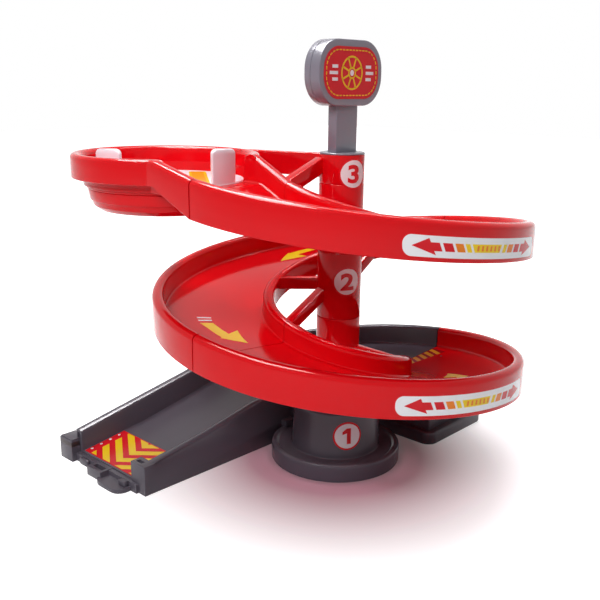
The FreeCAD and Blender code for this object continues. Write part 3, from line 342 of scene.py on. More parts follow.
def arm(mesh_data, heading, side, base, root, tip, root_depth=ARM_DEPTH, tip_depth=ARM_DEPTH,
        reach=ARM_REACH):
    """An arm along a heading. side moves it off the heading, to the side the heading grows to. root and
    tip are the levels of its lower edge above base."""
    outline = [(ARM_START, root), (reach, tip), (reach, tip + tip_depth), (ARM_START, root + root_depth)]
    turn = math.radians(heading)
    outward = Vector((math.sin(turn), -math.cos(turn), 0))
    across = Vector((math.cos(turn), math.sin(turn), 0))
    prism(mesh_data, outline,
          lambda u, v, w: outward * u + across * (side + w) + Vector((0, 0, base + v)), ARM_WIDTH, ARM_ROUND)


def sleeve(mesh_data, base, top, spigot=True):
    """A length of the column, with a spigot on top unless it is the last."""
    bore = COLUMN - SLEEVE_WALL
    outline = [(bore, base, 0.3), (COLUMN, base, EDGE), (COLUMN, top, EDGE)]
    if spigot:
        outside, inside = bore - SPIGOT_GAP, bore - SPIGOT_GAP - SPIGOT_WALL
        outline += [(outside, top), (outside, top + SPIGOT, 0.5), (inside, top + SPIGOT, 0.3),
                    (inside, top - 6), (bore, top - 8.2)]
    else:
        outline += [(bore, top, 0.3)]
    revolved(mesh_data, rounded(outline, 3), steps=96)


def half_turn(node, step):
    """A half turn of red lane with three arms and a sleeve. step counts the pieces from the lowest."""
    start = 360 - 180 * step - SEAM
    base = CURVE_LEVEL + HALF_TURN_DROP * step
    made = bmesh.new()
    helix(made, start + SEAM_GAP, start + 180)
    arm(made, start + 180, -ARM_WIDTH, base, LOW_ROOT, ARM_TIP)
    arm(made, start, 0.3, base, HIGH_ROOT, HALF_TURN_DROP + ARM_TIP)
    arm(made, start + MIDDLE_ARM, -ARM_WIDTH / 2, base, MIDDLE_ROOT,
        HALF_TURN_DROP * (180 - MIDDLE_ARM) / 180 + ARM_TIP)
    sleeve(made, base + SLEEVE_FOOT, base + SLEEVE_FOOT + HALF_TURN_DROP)
    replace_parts(finish_mesh(node + "_form", made, RED), node)


for step, node in enumerate(["lower_half_turn", "middle_half_turn", "upper_half_turn"]):
    half_turn(node, step)

# Grey curve, with a web under its inner skirt beside the column's foot
CURVE_START = 540
made = bmesh.new()
helix(made, CURVE_START - SEAM + SEAM_GAP, CURVE_START + 90)
block(made, (-HUB_SIDE - SKIN, 0.3, 6), (-HUB_SIDE, 6, 18.5), 0.3)
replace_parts(finish_mesh("exit_curve_form", made, GREY), "exit_curve")


# Ramp
MOUTH = -109
TONGUE_LEFT, TONGUE_TIP, TONGUE_TOP = -69.3, MOUTH - 11, 2.4
TONGUE_WIDTH, TONGUE_CORNER = 22, 6.0
rounded_copy("exit_ramp", "exit_ramp_form", GREY, 0.6,
             [(TONGUE_LEFT, TONGUE_TIP, TONGUE_TOP, TONGUE_CORNER),
              (TONGUE_LEFT + TONGUE_WIDTH, TONGUE_TIP, TONGUE_TOP, TONGUE_CORNER)])

# Left connector: a top plate over a slot that runs round its corner, whose shade is painted as thin dark
# sheets, and two hook blocks on the sill
SOCKET_LEFT, SOCKET_RIGHT, SOCKET_FRONT, SOCKET_TOP = -111.3, -99.3, MOUTH - 5.5, 12.6
SLOT_LOW, SLOT_HIGH = SOCKET_TOP - 3.6, SOCKET_TOP - 0.9
made = bmesh.new()
block(made, (SOCKET_LEFT + 0.4, SOCKET_FRONT + 0.4, SOCKET_TOP - 0.3),
      (SOCKET_RIGHT - 0.4, MOUTH + 4.5, SOCKET_TOP + 0.7), 0.35)
block(made, (TONGUE_LEFT + 15, MOUTH - 5.6, 2.2), (TONGUE_LEFT + 20.5, MOUTH - 2.3, 5.4), 0.7)
block(made, (TONGUE_LEFT - 24.5, MOUTH - 4.4, 0.4), (TONGUE_LEFT - 16.5, MOUTH - 2.2, 4.6), 0.8)
finish_mesh("mouth_details", made, GREY)
# Painted shade of the slot: thin dark sheets on the connector's front and right faces
made = bmesh.new()
block(made, (SOCKET_LEFT + 1.2, SOCKET_FRONT - 0.06, SLOT_LOW),
      (SOCKET_RIGHT + 0.02, SOCKET_FRONT + 0.3, SLOT_HIGH), 0.1)
block(made, (SOCKET_RIGHT - 0.3, SOCKET_FRONT - 0.02, SLOT_LOW),
      (SOCKET_RIGHT + 0.06, MOUTH - 0.2, SLOT_HIGH), 0.1)
finish_mesh("mouth_slot_shade", made, PAINTED_SHADE_AND_DOT)


# Pedestal: outside from the floor up to the spigot, then the inside down again
FOOT_RADIUS, FOOT_TOP = 37.2, 9.5
BOWL_FOOT, BOWL_LOW = 25.5, 8.3
BOWL_SHOULDER, BOWL_HIGH = 24.5, 34
PEDESTAL_TOP = 48.5
made = bmesh.new()
revolved(made, rounded([
    (34.8, 0, 0.4), (FOOT_RADIUS, 0, 0.5), (FOOT_RADIUS, FOOT_TOP, 1.2), (34.2, FOOT_TOP, 0.6),
    (33, BOWL_LOW, 0.5), (BOWL_FOOT, BOWL_LOW, 0.8), (BOWL_SHOULDER, BOWL_HIGH, 2.5), (20.5, 39, 2.0),
    (COLUMN, 47, 1.0), (COLUMN, PEDESTAL_TOP), (9.9, PEDESTAL_TOP), (9.9, PEDESTAL_TOP + SPIGOT, 0.5),
    (7.7, PEDESTAL_TOP + SPIGOT, 0.5), (7.7, 47), (18.1, 36.6, 1), (22.1, 32.8, 1), (23.1, 5.9, 0.5),
    (34.8, 5.9, 0.5)], 4))
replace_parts(finish_mesh("pedestal_form", made, GREY), "base_pedestal")

# Rear foot, and the leg whose top follows the lane above it
REAR_LEFT, REAR_RIGHT, REAR_BACK, REAR_HEIGHT = -20, 35, 107, 8
LEG_INSET, LEG_DEPTH, LEG_GAP, LEG_RADIUS = 4.5, 37.5, 0.25, 59
REAR_FRONT = INNER + LEG_INSET
LEG_FRONT = REAR_FRONT + LEG_INSET
LEG_LEFT, LEG_RIGHT = REAR_LEFT + LEG_INSET, REAR_RIGHT - LEG_INSET
LEG_SLOPE = HALF_TURN_DROP / (math.pi * LEG_RADIUS)
LEG_TOP = (CURVE_LEVEL - HALF_TURN_DROP * SEAM / 180 - SKIN - LEG_GAP
           + BANK * (LEG_FRONT - INNER) / LANE_WIDTH)
made = bmesh.new()
block(made, (REAR_LEFT, REAR_FRONT, 0), (REAR_RIGHT, REAR_BACK, REAR_HEIGHT), 1.0, 7.0)
prism(made, [(LEG_LEFT, REAR_HEIGHT / 2), (LEG_RIGHT, REAR_HEIGHT / 2),
             (LEG_RIGHT, LEG_TOP + LEG_SLOPE * LEG_RIGHT), (LEG_LEFT, LEG_TOP + LEG_SLOPE * LEG_LEFT)],
      lambda u, v, w: (u, LEG_FRONT + w, v), LEG_DEPTH, 1.2)
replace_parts(finish_mesh("rear_support_form", made, GREY), "rear_support")


# Launch pan: levels are above the top of the spiral
LEDGE, RIM, BAND = 8.4, 23, 10.5
PAN_RADIUS = 44
PAN_OUTSIDE = PAN_RADIUS + FLANGE
WALL_KNEE = 14
PAN_STEPS = 220
GATE_LOW, GATE_HIGH = -OUTER - 0.05, -INNER + 0.05


def pan_point(radius, turn, level):
    """A point at a radius and an angle round the pan's axis."""
    return (PAN_X + radius * math.cos(turn), PAN_Y + radius * math.sin(turn), TOP + level)


made = bmesh.new()
wall = rounded([
    (41.9, 7.9), (42, LEDGE, 0.6), (PAN_RADIUS, WALL_KNEE, 1.5), (PAN_RADIUS, RIM, 3.0),
    (PAN_OUTSIDE, RIM, 2.3), (PAN_OUTSIDE, BAND, EDGE), (PAN_OUTSIDE - SKIN, BAND, EDGE),
    (PAN_OUTSIDE - SKIN, RIM - SKIN, FOLD), (PAN_RADIUS + SKIN, RIM - SKIN, 0.5),
    (PAN_RADIUS + SKIN, WALL_KNEE, 1.0), (44.1, 7.9)], 5)
loops = []
for step in range(PAN_STEPS + 1):
    loop = []
    for radius, level in wall:
        start = math.asin((GATE_HIGH - PAN_Y) / radius)
        end = 2 * math.pi + math.asin((GATE_LOW - PAN_Y) / radius)
        loop.append(pan_point(radius, start + (end - start) * (step / PAN_STEPS), level))
    loops.append(loop)
skin_loops(made, loops)
revolved(made, rounded([
    (4.1, 6.9), (41.5, 6.9, 0.5), (41.5, LEDGE, 0.4), (44.05, LEDGE, 0.2), (44.05, 6.4, 0.4),
    (42.5, 6.4, 0.3), (42.5, 4.9, 0.5), (4.1, 4.9)], 3), PAN_X, PAN_Y, TOP, PAN_STEPS)


# Chute from the pan to the first seam: (place along it, level) knots, with the seam at 0
def along(knots, place):
    """Straight runs between (place, value) knots."""
    for (a, low), (b, high) in zip(knots, knots[1:]):
        if place <= b:
            return low + (high - low) * max(0.0, (place - a) / (b - a))
    return knots[-1][1]


def eased(knots, place, reach):
    """The same with its knees softened."""
    return sum(along(knots, place + reach * part) for part in (-1, -0.5, 0, 0.5, 1)) / 5


KNEE = 30
CHUTE_LENGTH = KNEE + 13
CHUTE_STEPS = 72
FLOOR_JOIN, WALL_JOIN = 43, 45.5
START, END = -90, 40
RIM_OUT = [(START, RIM), (-KNEE, RIM), (0, OUTER_RIM), (END, OUTER_RIM - 8.7)]
RIM_IN = [(START, RIM), (-25.5, RIM), (0, INNER_WALL), (END, INNER_WALL - 18.8)]
SKIRTS = [(START, BAND), (-KNEE, BAND), (0, SKIRT), (END, SKIRT - 16.7)]
FLOOR_IN = [(START, LEDGE), (-17.5, LEDGE), (0, 0), (END, -19.2)]
FLOOR_OUT = [(START, LEDGE), (-17.5, LEDGE), (0, BANK), (END, BANK - 10)]
loops = []
for step in range(CHUTE_STEPS + 1):
    part = step / CHUTE_STEPS
    x = -CHUTE_LENGTH + CHUTE_LENGTH * part
    ease = 1.2 * min(1, 8 * (1 - part))
    levels = [eased(knots, x, ease) for knots in (FLOOR_IN, FLOOR_OUT, RIM_IN, RIM_OUT, SKIRTS)]
    loop = []
    for radius, level in lane_outline(*levels, floor_steps=14):
        y = -radius
        join = FLOOR_JOIN if INNER - 0.6 < radius < OUTER + 0.6 else WALL_JOIN
        first = PAN_X + math.sqrt(join ** 2 - (y - PAN_Y) ** 2)
        slant = y * math.tan(math.radians(SEAM))
        loop.append((max(x + slant * part, first), y, TOP + level - 0.03))
    loops.append(loop)
skin_loops(made, loops)
sleeve(made, TOP + SLEEVE_FOOT, TOP + RIM, spigot=False)
arm(made, 0, -9, TOP, 13, ARM_TIP, 8.5, 8.5)
arm(made, -72, -ARM_WIDTH / 2, TOP, RIM - 13, RIM - 12, 12.95, 11.95, 62)
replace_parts(finish_mesh("launch_pan_form", made, RED), "launch_pan")

# Stepped cover under the pan, its lip low enough to hide the heads of the screws
COVER_TOP = 4.8
COVER_FOOT = COVER_TOP - 9.8
COVER_LIP = COVER_FOOT - 1.3
# A radius small enough to close a revolved piece at its axis
AXIS = 0.01
made = bmesh.new()
revolved(made, rounded([
    (AXIS, COVER_FOOT), (33.4, COVER_FOOT, 0.2), (33.8, COVER_LIP, 0.4), (36.4, COVER_LIP, 0.9),
    (39.4, COVER_FOOT + 1.1, 1.0), (40.4, COVER_FOOT + 4, 0.3), (41, COVER_FOOT + 4, 0.3),
    (42, COVER_TOP, 0.4), (40.5, COVER_TOP, 0.3), (39.5, COVER_FOOT + 5.5, 0.5),
    (38.9, COVER_FOOT + 5.5, 0.3), (37.9, COVER_FOOT + 2.8, 0.5), (36.8, COVER_FOOT + 1.5, 0.5),
    (AXIS, COVER_FOOT + 1.5)], 3), PAN_X, PAN_Y, TOP, 200)
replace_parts(finish_mesh("pan_cover_form", made, RED), "pan_under_cover")


# Turntable
DISC_LEVEL = TOP + 9.2
GUARD_NEAR, GUARD_IN, GUARD_REACH = 22.3, 20.3, 41.1
GUARD_FOOT, GUARD_TOP, GUARD_ROUND = -0.5, 17.2, 2.6
GUARD_STEPS = 8


def on_table(u, v, w):
    """Turntable coordinates: u towards the guards, v across, w up from the top of the disc."""
    turn = math.radians(REST_TURN)
    return (PAN_X + u * math.cos(turn) - v * math.sin(turn), PAN_Y + u * math.sin(turn) + v * math.cos(turn),
            DISC_LEVEL + w)


def guard_outline():
    """Foot of a guard, which ends in the arc of the disc's edge."""
    first, last = math.asin(GUARD_NEAR / GUARD_REACH), math.acos(GUARD_IN / GUARD_REACH)
    turns = [first + (last - first) * step / GUARD_STEPS for step in range(GUARD_STEPS + 1)]
    rim = [(GUARD_REACH * math.cos(turn), GUARD_REACH * math.sin(turn)) for turn in turns]
    return rounded([(GUARD_IN, GUARD_NEAR, 3.4), (*rim[0], 3.0), *rim[1:-1], (*rim[-1], 3.4)], 6)


def domed_guard(mesh_data, outline, side):
    """A block on an outline that closes in to a rounded top, on one side of the disc."""
    us, vs = zip(*outline)
    middle_u, half_u = (min(us) + max(us)) / 2, (max(us) - min(us)) / 2
    middle_v, half_v = (min(vs) + max(vs)) / 2, (max(vs) - min(vs)) / 2
    rings = [(GUARD_FOOT, 0)]
    for step in range(GUARD_STEPS + 1):
        bend = math.pi / 2 * step / GUARD_STEPS
        rings.append((GUARD_TOP - GUARD_ROUND * (1 - math.sin(bend)), GUARD_ROUND * (1 - math.cos(bend))))
    loops = []
    for w, inset in rings:
        shrink_u, shrink_v = 1 - inset / half_u, 1 - inset / half_v
        loops.append([on_table(middle_u + (u - middle_u) * shrink_u,
                               side * (middle_v + (v - middle_v) * shrink_v), w) for u, v in outline])
    skin_loops(mesh_data, loops)


made = bmesh.new()
revolved(made, rounded([
    (AXIS, 0), (41.2, 0, 0.6), (41.2, -2, 0.4), (4, -2, 0.5), (4, -4.4), (AXIS, -4.4)], 3),
    PAN_X, PAN_Y, DISC_LEVEL, 200)
for side in (1, -1):
    domed_guard(made, guard_outline(), side)
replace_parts(finish_mesh("turntable_form", made, WHITE, "turntable"), "turntable")


# Sign
SIGN_HALF, SIGN_CORNER = 25.4, 15
SIGN_LOW, SIGN_HIGH = 200, 233.5
SIGN_MIDDLE = (SIGN_LOW + SIGN_HIGH) / 2
SIGN_FACE = 5.2


def sign_outline(inset):
    """Upright outline of the sign, moved in by inset."""
    half, corner, low, high = SIGN_HALF - inset, SIGN_CORNER - inset, SIGN_LOW + inset, SIGN_HIGH - inset
    return rounded([(-half, low, corner), (half, low, corner), (half, high, corner), (-half, high, corner)],
                   14)


def sign_shell(name, node, far, near, direction):
    """A shell of the sign from its seam at near to its rounded face at far."""
    made = bmesh.new()
    loops = []
    for x, inset in ((near, 1.8), (near, 0.25), (near + 0.25 * direction, 0.0), (far - 0.7 * direction, 0.0),
                     (far - 0.35 * direction, 0.09), (far - 0.09 * direction, 0.35), (far, 0.7), (far, 3.0)):
        loops.append([(x, u, v) for u, v in sign_outline(inset)])
    skin_loops(made, loops)
    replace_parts(finish_mesh(name, made, SIGN_GREY), node)


sign_shell("sign_front_form", "sign_front_shell", SIGN_FACE, -0.9, 1)
sign_shell("sign_back_form", "sign_back_shell", -SIGN_FACE, -1.05, -1)

PLUG_FOOT, CAP_LOW, CAP_HIGH = 169, 175, 176
made = bmesh.new()
revolved(made, rounded([
    (AXIS, PLUG_FOOT), (9.9, PLUG_FOOT, 0.5), (9.9, CAP_LOW), (COLUMN, CAP_LOW, 0.2), (COLUMN, CAP_HIGH, 0.5),
    (AXIS, CAP_HIGH)], 3), steps=96)
block(made, (-3.1, -8.6, CAP_HIGH - 0.5), (2.8, 8.6, SIGN_LOW + 3), 0.5)
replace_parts(finish_mesh("sign_post_form", made, SIGN_GREY), "sign_post")


# Printed labels
FINE = 0.04


def sheet(name, shapes, place, material, lift, thick=0.08, cell=4.0, body="frame"):
    """Thin printed shapes laid on a surface. place maps (u, v, height) to a point. Every shape is a
    convex outline; it is cut into small cells so that it follows the surface."""
    made = bmesh.new()
    for shape in shapes:
        flat = bmesh.new()
        flat.faces.new([flat.verts.new((u, v, 0)) for u, v in shape])
        us = [u for u, v in shape]
        vs = [v for u, v in shape]
        for values, normal in ((us, (1, 0, 0)), (vs, (0, 1, 0))):
            low, high = min(values), max(values)
            count = max(1, int(math.ceil((high - low) / cell)))
            for index in range(1, count):
                spot = low + (high - low) * index / count
                bmesh.ops.bisect_plane(flat, geom=flat.verts[:] + flat.edges[:] + flat.faces[:],
                                       plane_co=Vector(normal) * spot, plane_no=normal)
        flat.verts.index_update()
        rings = []
        for height in (lift, lift + thick):
            rings.append([made.verts.new(Vector(place(vert.co.x, vert.co.y, height)) * MM)
                          for vert in flat.verts])
        for face in flat.faces:
            index = [vert.index for vert in face.verts]
            made.faces.new([rings[1][i] for i in index])
            made.faces.new([rings[0][i] for i in reversed(index)])
        for edge in flat.edges:
            if len(edge.link_faces) == 1:
                a, b = (vert.index for vert in edge.verts)
                made.faces.new((rings[0][a], rings[0][b], rings[1][b], rings[1][a]))
        flat.free()
    return finish_mesh(name, made, material, body, PRINT_ANGLE)


def disc(radius, steps, u=0.0, v=0.0):
    """A circle's outline round (u, v)."""
    turns = [2 * math.pi * k / steps for k in range(steps)]
    return [(u + radius * math.cos(turn), v + radius * math.sin(turn)) for turn in turns]


def ring_shapes(radius, width, middle, steps=48):
    """A ring as short convex pieces."""
    outer, inner = disc(radius, steps, v=middle), disc(radius - width, steps, v=middle)
    return [[outer[k - 1], outer[k], inner[k], inner[k - 1]] for k in range(steps)]


def stroke(points, width):
    """A line of equal width as convex pieces, each a little longer than its step."""
    made = []
    for (ax, ay), (bx, by) in zip(points, points[1:]):
        way = Vector((bx - ax, by - ay)).normalized() * (width / 2)
        side = Vector((-way.y, way.x))
        past_x, past_y = way.x * 0.6, way.y * 0.6
        made.append([
            (ax + side.x - past_x, ay + side.y - past_y), (ax - side.x - past_x, ay - side.y - past_y),
            (bx - side.x + past_x, by - side.y + past_y), (bx + side.x + past_x, by + side.y + past_y)])
    return made


# Lane prints: shapes are outlines of (heading, radius)
def on_lane(heading, radius, height):
    """A point at a height above the banked floor."""
    bank = BANK * (radius - INNER) / LANE_WIDTH
    return at_heading(radius, heading, floor_level(heading) + bank + height)


def lane_sheet(name, shapes, material, lift=0.02):
    sheet(name, shapes, on_lane, material, lift, cell=3.0)


def lane_arrow(name, tip, shift=0.0):
    """An arrow with two bars at its tail, which bends with the lane. tip is the heading of its point, and
    its corners are (degrees behind the tip, radius)."""
    def shapes(corners):
        return [[(tip - back, radius + shift) for back, radius in shape] for shape in corners]
    lane_sheet(name, shapes([
        [(22.1, 78.9), (22.0, 71.9), (17.5, 70.2), (17.2, 76.3)],
        [(17.2, 76.3), (17.5, 70.2), (10.5, 67.6), (7.9, 73.1)],
        [(7.4, 74.1), (13.6, 61.1), (0, 63.0)]]), PRINT_YELLOW)
    lane_sheet(name + "_bars", shapes([
        [(27.6, 79.6), (27.7, 71.9), (26.7, 71.8), (26.6, 79.5)],
        [(25.0, 79.3), (25.1, 71.9), (24.0, 71.9), (23.9, 79.2)]]), PRINT_WHITE)


# Dark lips under the seams between the pieces: painted shade that shows through the gaps
LIP_BACK, LIP_AHEAD, LIP_INSET = 0.6, 1.0, 0.4
for index, name in enumerate(["top", "upper", "middle", "lower"]):
    seam = 180 * index - SEAM
    low, high = seam - LIP_BACK, seam + LIP_AHEAD
    inside, outside = INNER + LIP_INSET, OUTER - LIP_INSET
    sheet("seam_shade_lip_" + name, [[(low, inside), (high, inside), (high, outside), (low, outside)]],
          on_lane, PAINTED_SHADE_AND_DOT, -1.5, thick=0.5)

lane_arrow("middle_arrow", 352.8)
lane_arrow("middle_upper_arrow", 251.5, 9)
lane_arrow("lower_arrow", 488)

# Slanting stripes across the end of the red lane on a darker red ground, which is painted shade, and a small
# dark dot before them
STRIP_START, STRIP_END, STRIP_PERIOD, STRIP_DROP, STRIPE = 530.4, 537.6, 5.7, 4.9, 3
MARK_HEADING, MARK_RADIUS = 527, 81.4
DEGREES_PER_MM = 57.3 / 76
# Painted shade: a darker red ground under the stripes
lane_sheet("end_painted_shade", [[(STRIP_END, 58), (STRIP_END, 92.5), (STRIP_START, 90), (STRIP_START, 53.5)]],
           PAINTED_SHADE_RED)
stripes = []
for index in range(6):
    radius = 59 + index * STRIP_PERIOD
    stripes.append([(STRIP_END, radius), (STRIP_END, radius + STRIPE),
                    (STRIP_START, radius + STRIPE - STRIP_DROP), (STRIP_START, radius - STRIP_DROP)])
lane_sheet("end_stripes", stripes, PRINT_AMBER, lift=0.11)
mark = [(MARK_HEADING + u * DEGREES_PER_MM, MARK_RADIUS + v) for u, v in disc(0.8, 16)]
lane_sheet("lower_dark_dot", [mark], PAINTED_SHADE_AND_DOT)


# Round number labels on the column and on the pedestal
LABEL_RADIUS, LABEL_DISC = 8.2, 7.2
NUMERAL, NUMERAL_STRETCH, NUMERAL_CUTS = 12.6, 1.2, 12
NUMERAL_HALF = 0.05


def on_round(angle, radius_at):
    """Lays (u, v) on an upright round wall: u along it from an angle, v the level."""
    def place(u, v, height):
        radius = radius_at(v)
        turn = math.radians(-angle) + u / radius
        return ((radius + height) * math.cos(turn), (radius + height) * math.sin(turn), v)
    return place


def column_radius(level):
    return COLUMN


def bowl_radius(level):
    """Radius of the pedestal's tapering wall."""
    return BOWL_FOOT - (BOWL_FOOT - BOWL_SHOULDER) * (level - BOWL_LOW) / (BOWL_HIGH - BOWL_LOW)


def digit_sheet(name, text, centre, place, material, lift):
    """A plain numeral, drawn with Blender's own letter shapes and laid on a surface."""
    curve = bpy.data.curves.new(name + "_curve", "FONT")
    curve.body = text
    curve.size = NUMERAL
    curve.align_x = "CENTER"
    curve.offset = NUMERAL * 0.036
    curve.extrude = NUMERAL_HALF
    curve.resolution_u = 6
    holder = bpy.data.objects.new(name + "_curve", curve)
    bpy.context.scene.collection.objects.link(holder)
    bpy.context.view_layer.update()
    mesh = bpy.data.meshes.new_from_object(holder)
    bpy.data.objects.remove(holder)
    made = bmesh.new()
    made.from_mesh(mesh)
    left, right = min(vert.co.x for vert in made.verts), max(vert.co.x for vert in made.verts)
    for index in range(1, NUMERAL_CUTS):
        cut = left + (right - left) * index / NUMERAL_CUTS
        bmesh.ops.bisect_plane(made, geom=made.verts[:] + made.edges[:] + made.faces[:],
                               plane_co=(cut, 0, 0), plane_no=(1, 0, 0))
    low, high = min(vert.co.y for vert in made.verts), max(vert.co.y for vert in made.verts)
    for vert in made.verts:
        u, v = vert.co.x * NUMERAL_STRETCH, centre + vert.co.y - (low + high) / 2
        vert.co = Vector(place(u, v, lift + NUMERAL_HALF + vert.co.z)) * MM
    finish_mesh(name, made, material, angle=PRINT_ANGLE)


def number_label(number, node, place, level):
    """A red label with a white disc and a red numeral."""
    ground = [(u, v + level) for u, v in disc(LABEL_RADIUS, 64)]
    patch = sheet("label_ring_" + number, [ground], place, PRINT_RED, 0.03, 0.17, 1.4)
    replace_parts(patch, node)
    face = [(u, v + level) for u, v in disc(LABEL_DISC, 64)]
    sheet("label_disc_" + number, [face], place, PRINT_WHITE, 0.21, FINE, 1.4)
    if number == "1":
        stem = [(-0.4, -4.6), (1.9, -4.6), (1.9, 4.6), (-0.4, 4.6)]
        flag = [(-0.4, 4.6), (-2.9, 2.5), (-2.9, 0.9), (-0.4, 1.7)]
        shapes = [[(u, v + level) for u, v in shape] for shape in (stem, flag)]
        sheet("label_digit_1", shapes, place, PRINT_RED, 0.26, 0.05, 1.0)
    else:
        digit_sheet("label_digit_" + number, number, level, place, PRINT_RED, 0.26)


number_label("3", "number_label_three", on_round(18.5, column_radius), TOP + 13.3)
number_label("2", "number_label_two", on_round(28.0, column_radius), CURVE_LEVEL + HALF_TURN_DROP + 29)
number_label("1", "number_label_one", on_round(34, bowl_radius), 22.0)


# Direction labels on the outer band of the upper and lower pieces
WAY_HALF, WAY_MIDDLE, WAY_CENTRE, WAY_CORNER = 4.8, 4.9, 80.9, 4.2
WAY_LEFT, WAY_RIGHT = 25.6, 26.8
BLOCK_HALF, DASH_HALF, ARROW_HALF, LEAN = 1.9, 1.2, 3.7, 0.9
BLOCKS = (("red", 11.2, 14.0), ("orange", 7.9, 10.4), ("yellow", 5.7, 7.2))
DASH_PLACES = (-4.2, -2.6, -1.0, 0.6, 2.2, 3.8)


def on_band(turns):
    """Lays (u, v) on the band: u along it, v above the lane's floor."""
    def place(u, v, height):
        heading = u / BAND_RADIUS * 180 / math.pi
        return at_heading(BAND_RADIUS + height, heading, floor_level(heading + turns) + v)
    return place


def spot(distance, side, level):
    """A point of a direction label: degrees from its centre, to one side, and millimetres above its middle
    line."""
    return (math.radians(WAY_CENTRE + side * distance) * BAND_RADIUS, WAY_MIDDLE + level)


for name, turns in (("upper", 0), ("lower", 360)):
    place = on_band(turns)
    ends = [(WAY_LEFT, -1, -WAY_HALF), (WAY_RIGHT, 1, -WAY_HALF), (WAY_RIGHT, 1, WAY_HALF),
            (WAY_LEFT, -1, WAY_HALF)]
    outline = rounded([(*spot(*end), WAY_CORNER) for end in ends], 8)
    sheet(name + "_way_label", [outline], place, PRINT_WHITE, 0.02, cell=3.0)
    groups = {"red": [], "orange": [], "yellow": []}
    for side in (-1, 1):
        groups["red"].append([spot(23.3, side, 0), spot(18.7, side, ARROW_HALF),
                              spot(16.7, side, -ARROW_HALF)])
        groups["red"].append([spot(18.2, side, BLOCK_HALF), spot(17.2, side, -BLOCK_HALF),
                              spot(14.9, side, -BLOCK_HALF), spot(14.9 + LEAN, side, BLOCK_HALF)])
        for colour, near, far in BLOCKS:
            groups[colour].append([spot(near, side, -BLOCK_HALF), spot(far, side, -BLOCK_HALF),
                                   spot(far + LEAN, side, BLOCK_HALF), spot(near + LEAN, side, BLOCK_HALF)])
    groups["yellow"].append([spot(4.6, 1, -BLOCK_HALF), spot(4.9, -1, -BLOCK_HALF),
                             spot(4.9 + LEAN, -1, BLOCK_HALF), spot(4.6 + LEAN, 1, BLOCK_HALF)])
    for colour, print_material in (("red", PRINT_RED), ("orange", PRINT_ORANGE), ("yellow", PRINT_YELLOW)):
        sheet("%s_way_%s" % (name, colour), groups[colour], place, print_material, 0.11, FINE, 3.0)
    dashes = [[spot(d, 1, -DASH_HALF), spot(d + 0.7, 1, -DASH_HALF), spot(d + 0.9, 1, DASH_HALF),
               spot(d + 0.2, 1, DASH_HALF)] for d in DASH_PLACES]
    sheet(name + "_way_dashes", dashes, place, PRINT_ORANGE, 0.16, 0.03, 3.0)


# Chevron label on the ramp
MOUTH_FLOOR, WAIST_FLOOR, WAIST = 6, 11.9, 66
LABEL_LEFT, LABEL_RIGHT, LABEL_START, LABEL_END = -96, -49, 1, 28
CHEVRON_CENTRE, CHEVRON_REACH, CHEVRON_RISE = -70, 20.4, 0.66
CHEVRON_PERIOD, CHEVRON_LOW, CHEVRON_HIGH = 8.7, 4.3, 8.9


def on_ramp(u, v, height):
    """u along X, v along the ramp from its mouth."""
    floor = MOUTH_FLOOR + (WAIST_FLOOR - MOUTH_FLOOR) * v / (-MOUTH - WAIST)
    return (u, v + MOUTH, floor + height)


def clipped(outline, limit, keep):
    """The part of an outline with v above a limit, or below it where keep is -1."""
    made = []
    for k in range(len(outline)):
        (au, av), (bu, bv) = outline[k - 1], outline[k]
        a_in, b_in = keep * (av - limit) >= 0, keep * (bv - limit) >= 0
        if a_in != b_in:
            part = (limit - av) / (bv - av)
            made.append((au + (bu - au) * part, limit))
        if b_in:
            made.append((bu, bv))
    return made


ground = [(LABEL_LEFT, LABEL_START), (LABEL_RIGHT, LABEL_START), (LABEL_RIGHT, LABEL_END),
          (LABEL_LEFT, LABEL_END)]
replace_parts(sheet("ramp_label_ground", [ground], on_ramp, PRINT_RED, 0.02, 0.2), "ramp_label")
chevrons = []
for index in range(-3, 4):
    low, high = index * CHEVRON_PERIOD + CHEVRON_LOW, index * CHEVRON_PERIOD + CHEVRON_HIGH
    rise = CHEVRON_RISE * CHEVRON_REACH
    for side in (-1, 1):
        corners = [(0, low), (CHEVRON_REACH, low + rise), (CHEVRON_REACH, high + rise), (0, high)]
        shape = clipped(clipped(corners, LABEL_START + 0.6, 1), LABEL_END - 0.6, -1)
        if len(shape) >= 3:
            chevrons.append([(CHEVRON_CENTRE + side * u, v) for u, v in shape])
sheet("ramp_label_chevrons", chevrons, on_ramp, PRINT_YELLOW, 0.23, FINE)
dots = [disc(0.8, 16, -94.2, 4.6 + 6.2 * k) for k in range(4)]
sheet("ramp_label_dots", dots, on_ramp, PRINT_WHITE, 0.28, FINE)
# Painted shade of the ramp floor's hole: a dark disc
sheet("ramp_floor_hole_shade", [disc(1.1, 20, -70.5, 30.8)], on_ramp, PAINTED_SHADE_AND_DOT, 0.01, 0.02)


# Striped labels of the turntable
TABLE_HALF, TABLE_IN, TABLE_OUT, TABLE_CORNER = 30, 12.1, 21.7, 1.5
BAR, BAR_MARGIN, BAR_PERIOD = 1.5, 1.4, 3.6
for name, low, high in (("far", TABLE_IN, TABLE_OUT), ("near", -TABLE_OUT, -TABLE_IN)):
    outline = rounded([(-TABLE_HALF, low, TABLE_CORNER), (TABLE_HALF, low, TABLE_CORNER),
                       (TABLE_HALF, high, TABLE_CORNER), (-TABLE_HALF, high, TABLE_CORNER)], 4)
    patch = sheet("table_strip_" + name, [outline], on_table, PRINT_YELLOW, 0.02, 0.16, 6.0, body="turntable")
    if name == "far":
        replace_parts(patch, "turntable_label")
    bars = []
    for k in range(16):
        u = 2 - TABLE_HALF + BAR_PERIOD * k
        bars.append([(u, low + BAR_MARGIN), (u + BAR, low + BAR_MARGIN), (u + BAR, high - BAR_MARGIN),
                     (u, high - BAR_MARGIN)])
    sheet("table_bars_" + name, bars, on_table, PRINT_ORANGE, 0.19, FINE, 6.0, body="turntable")


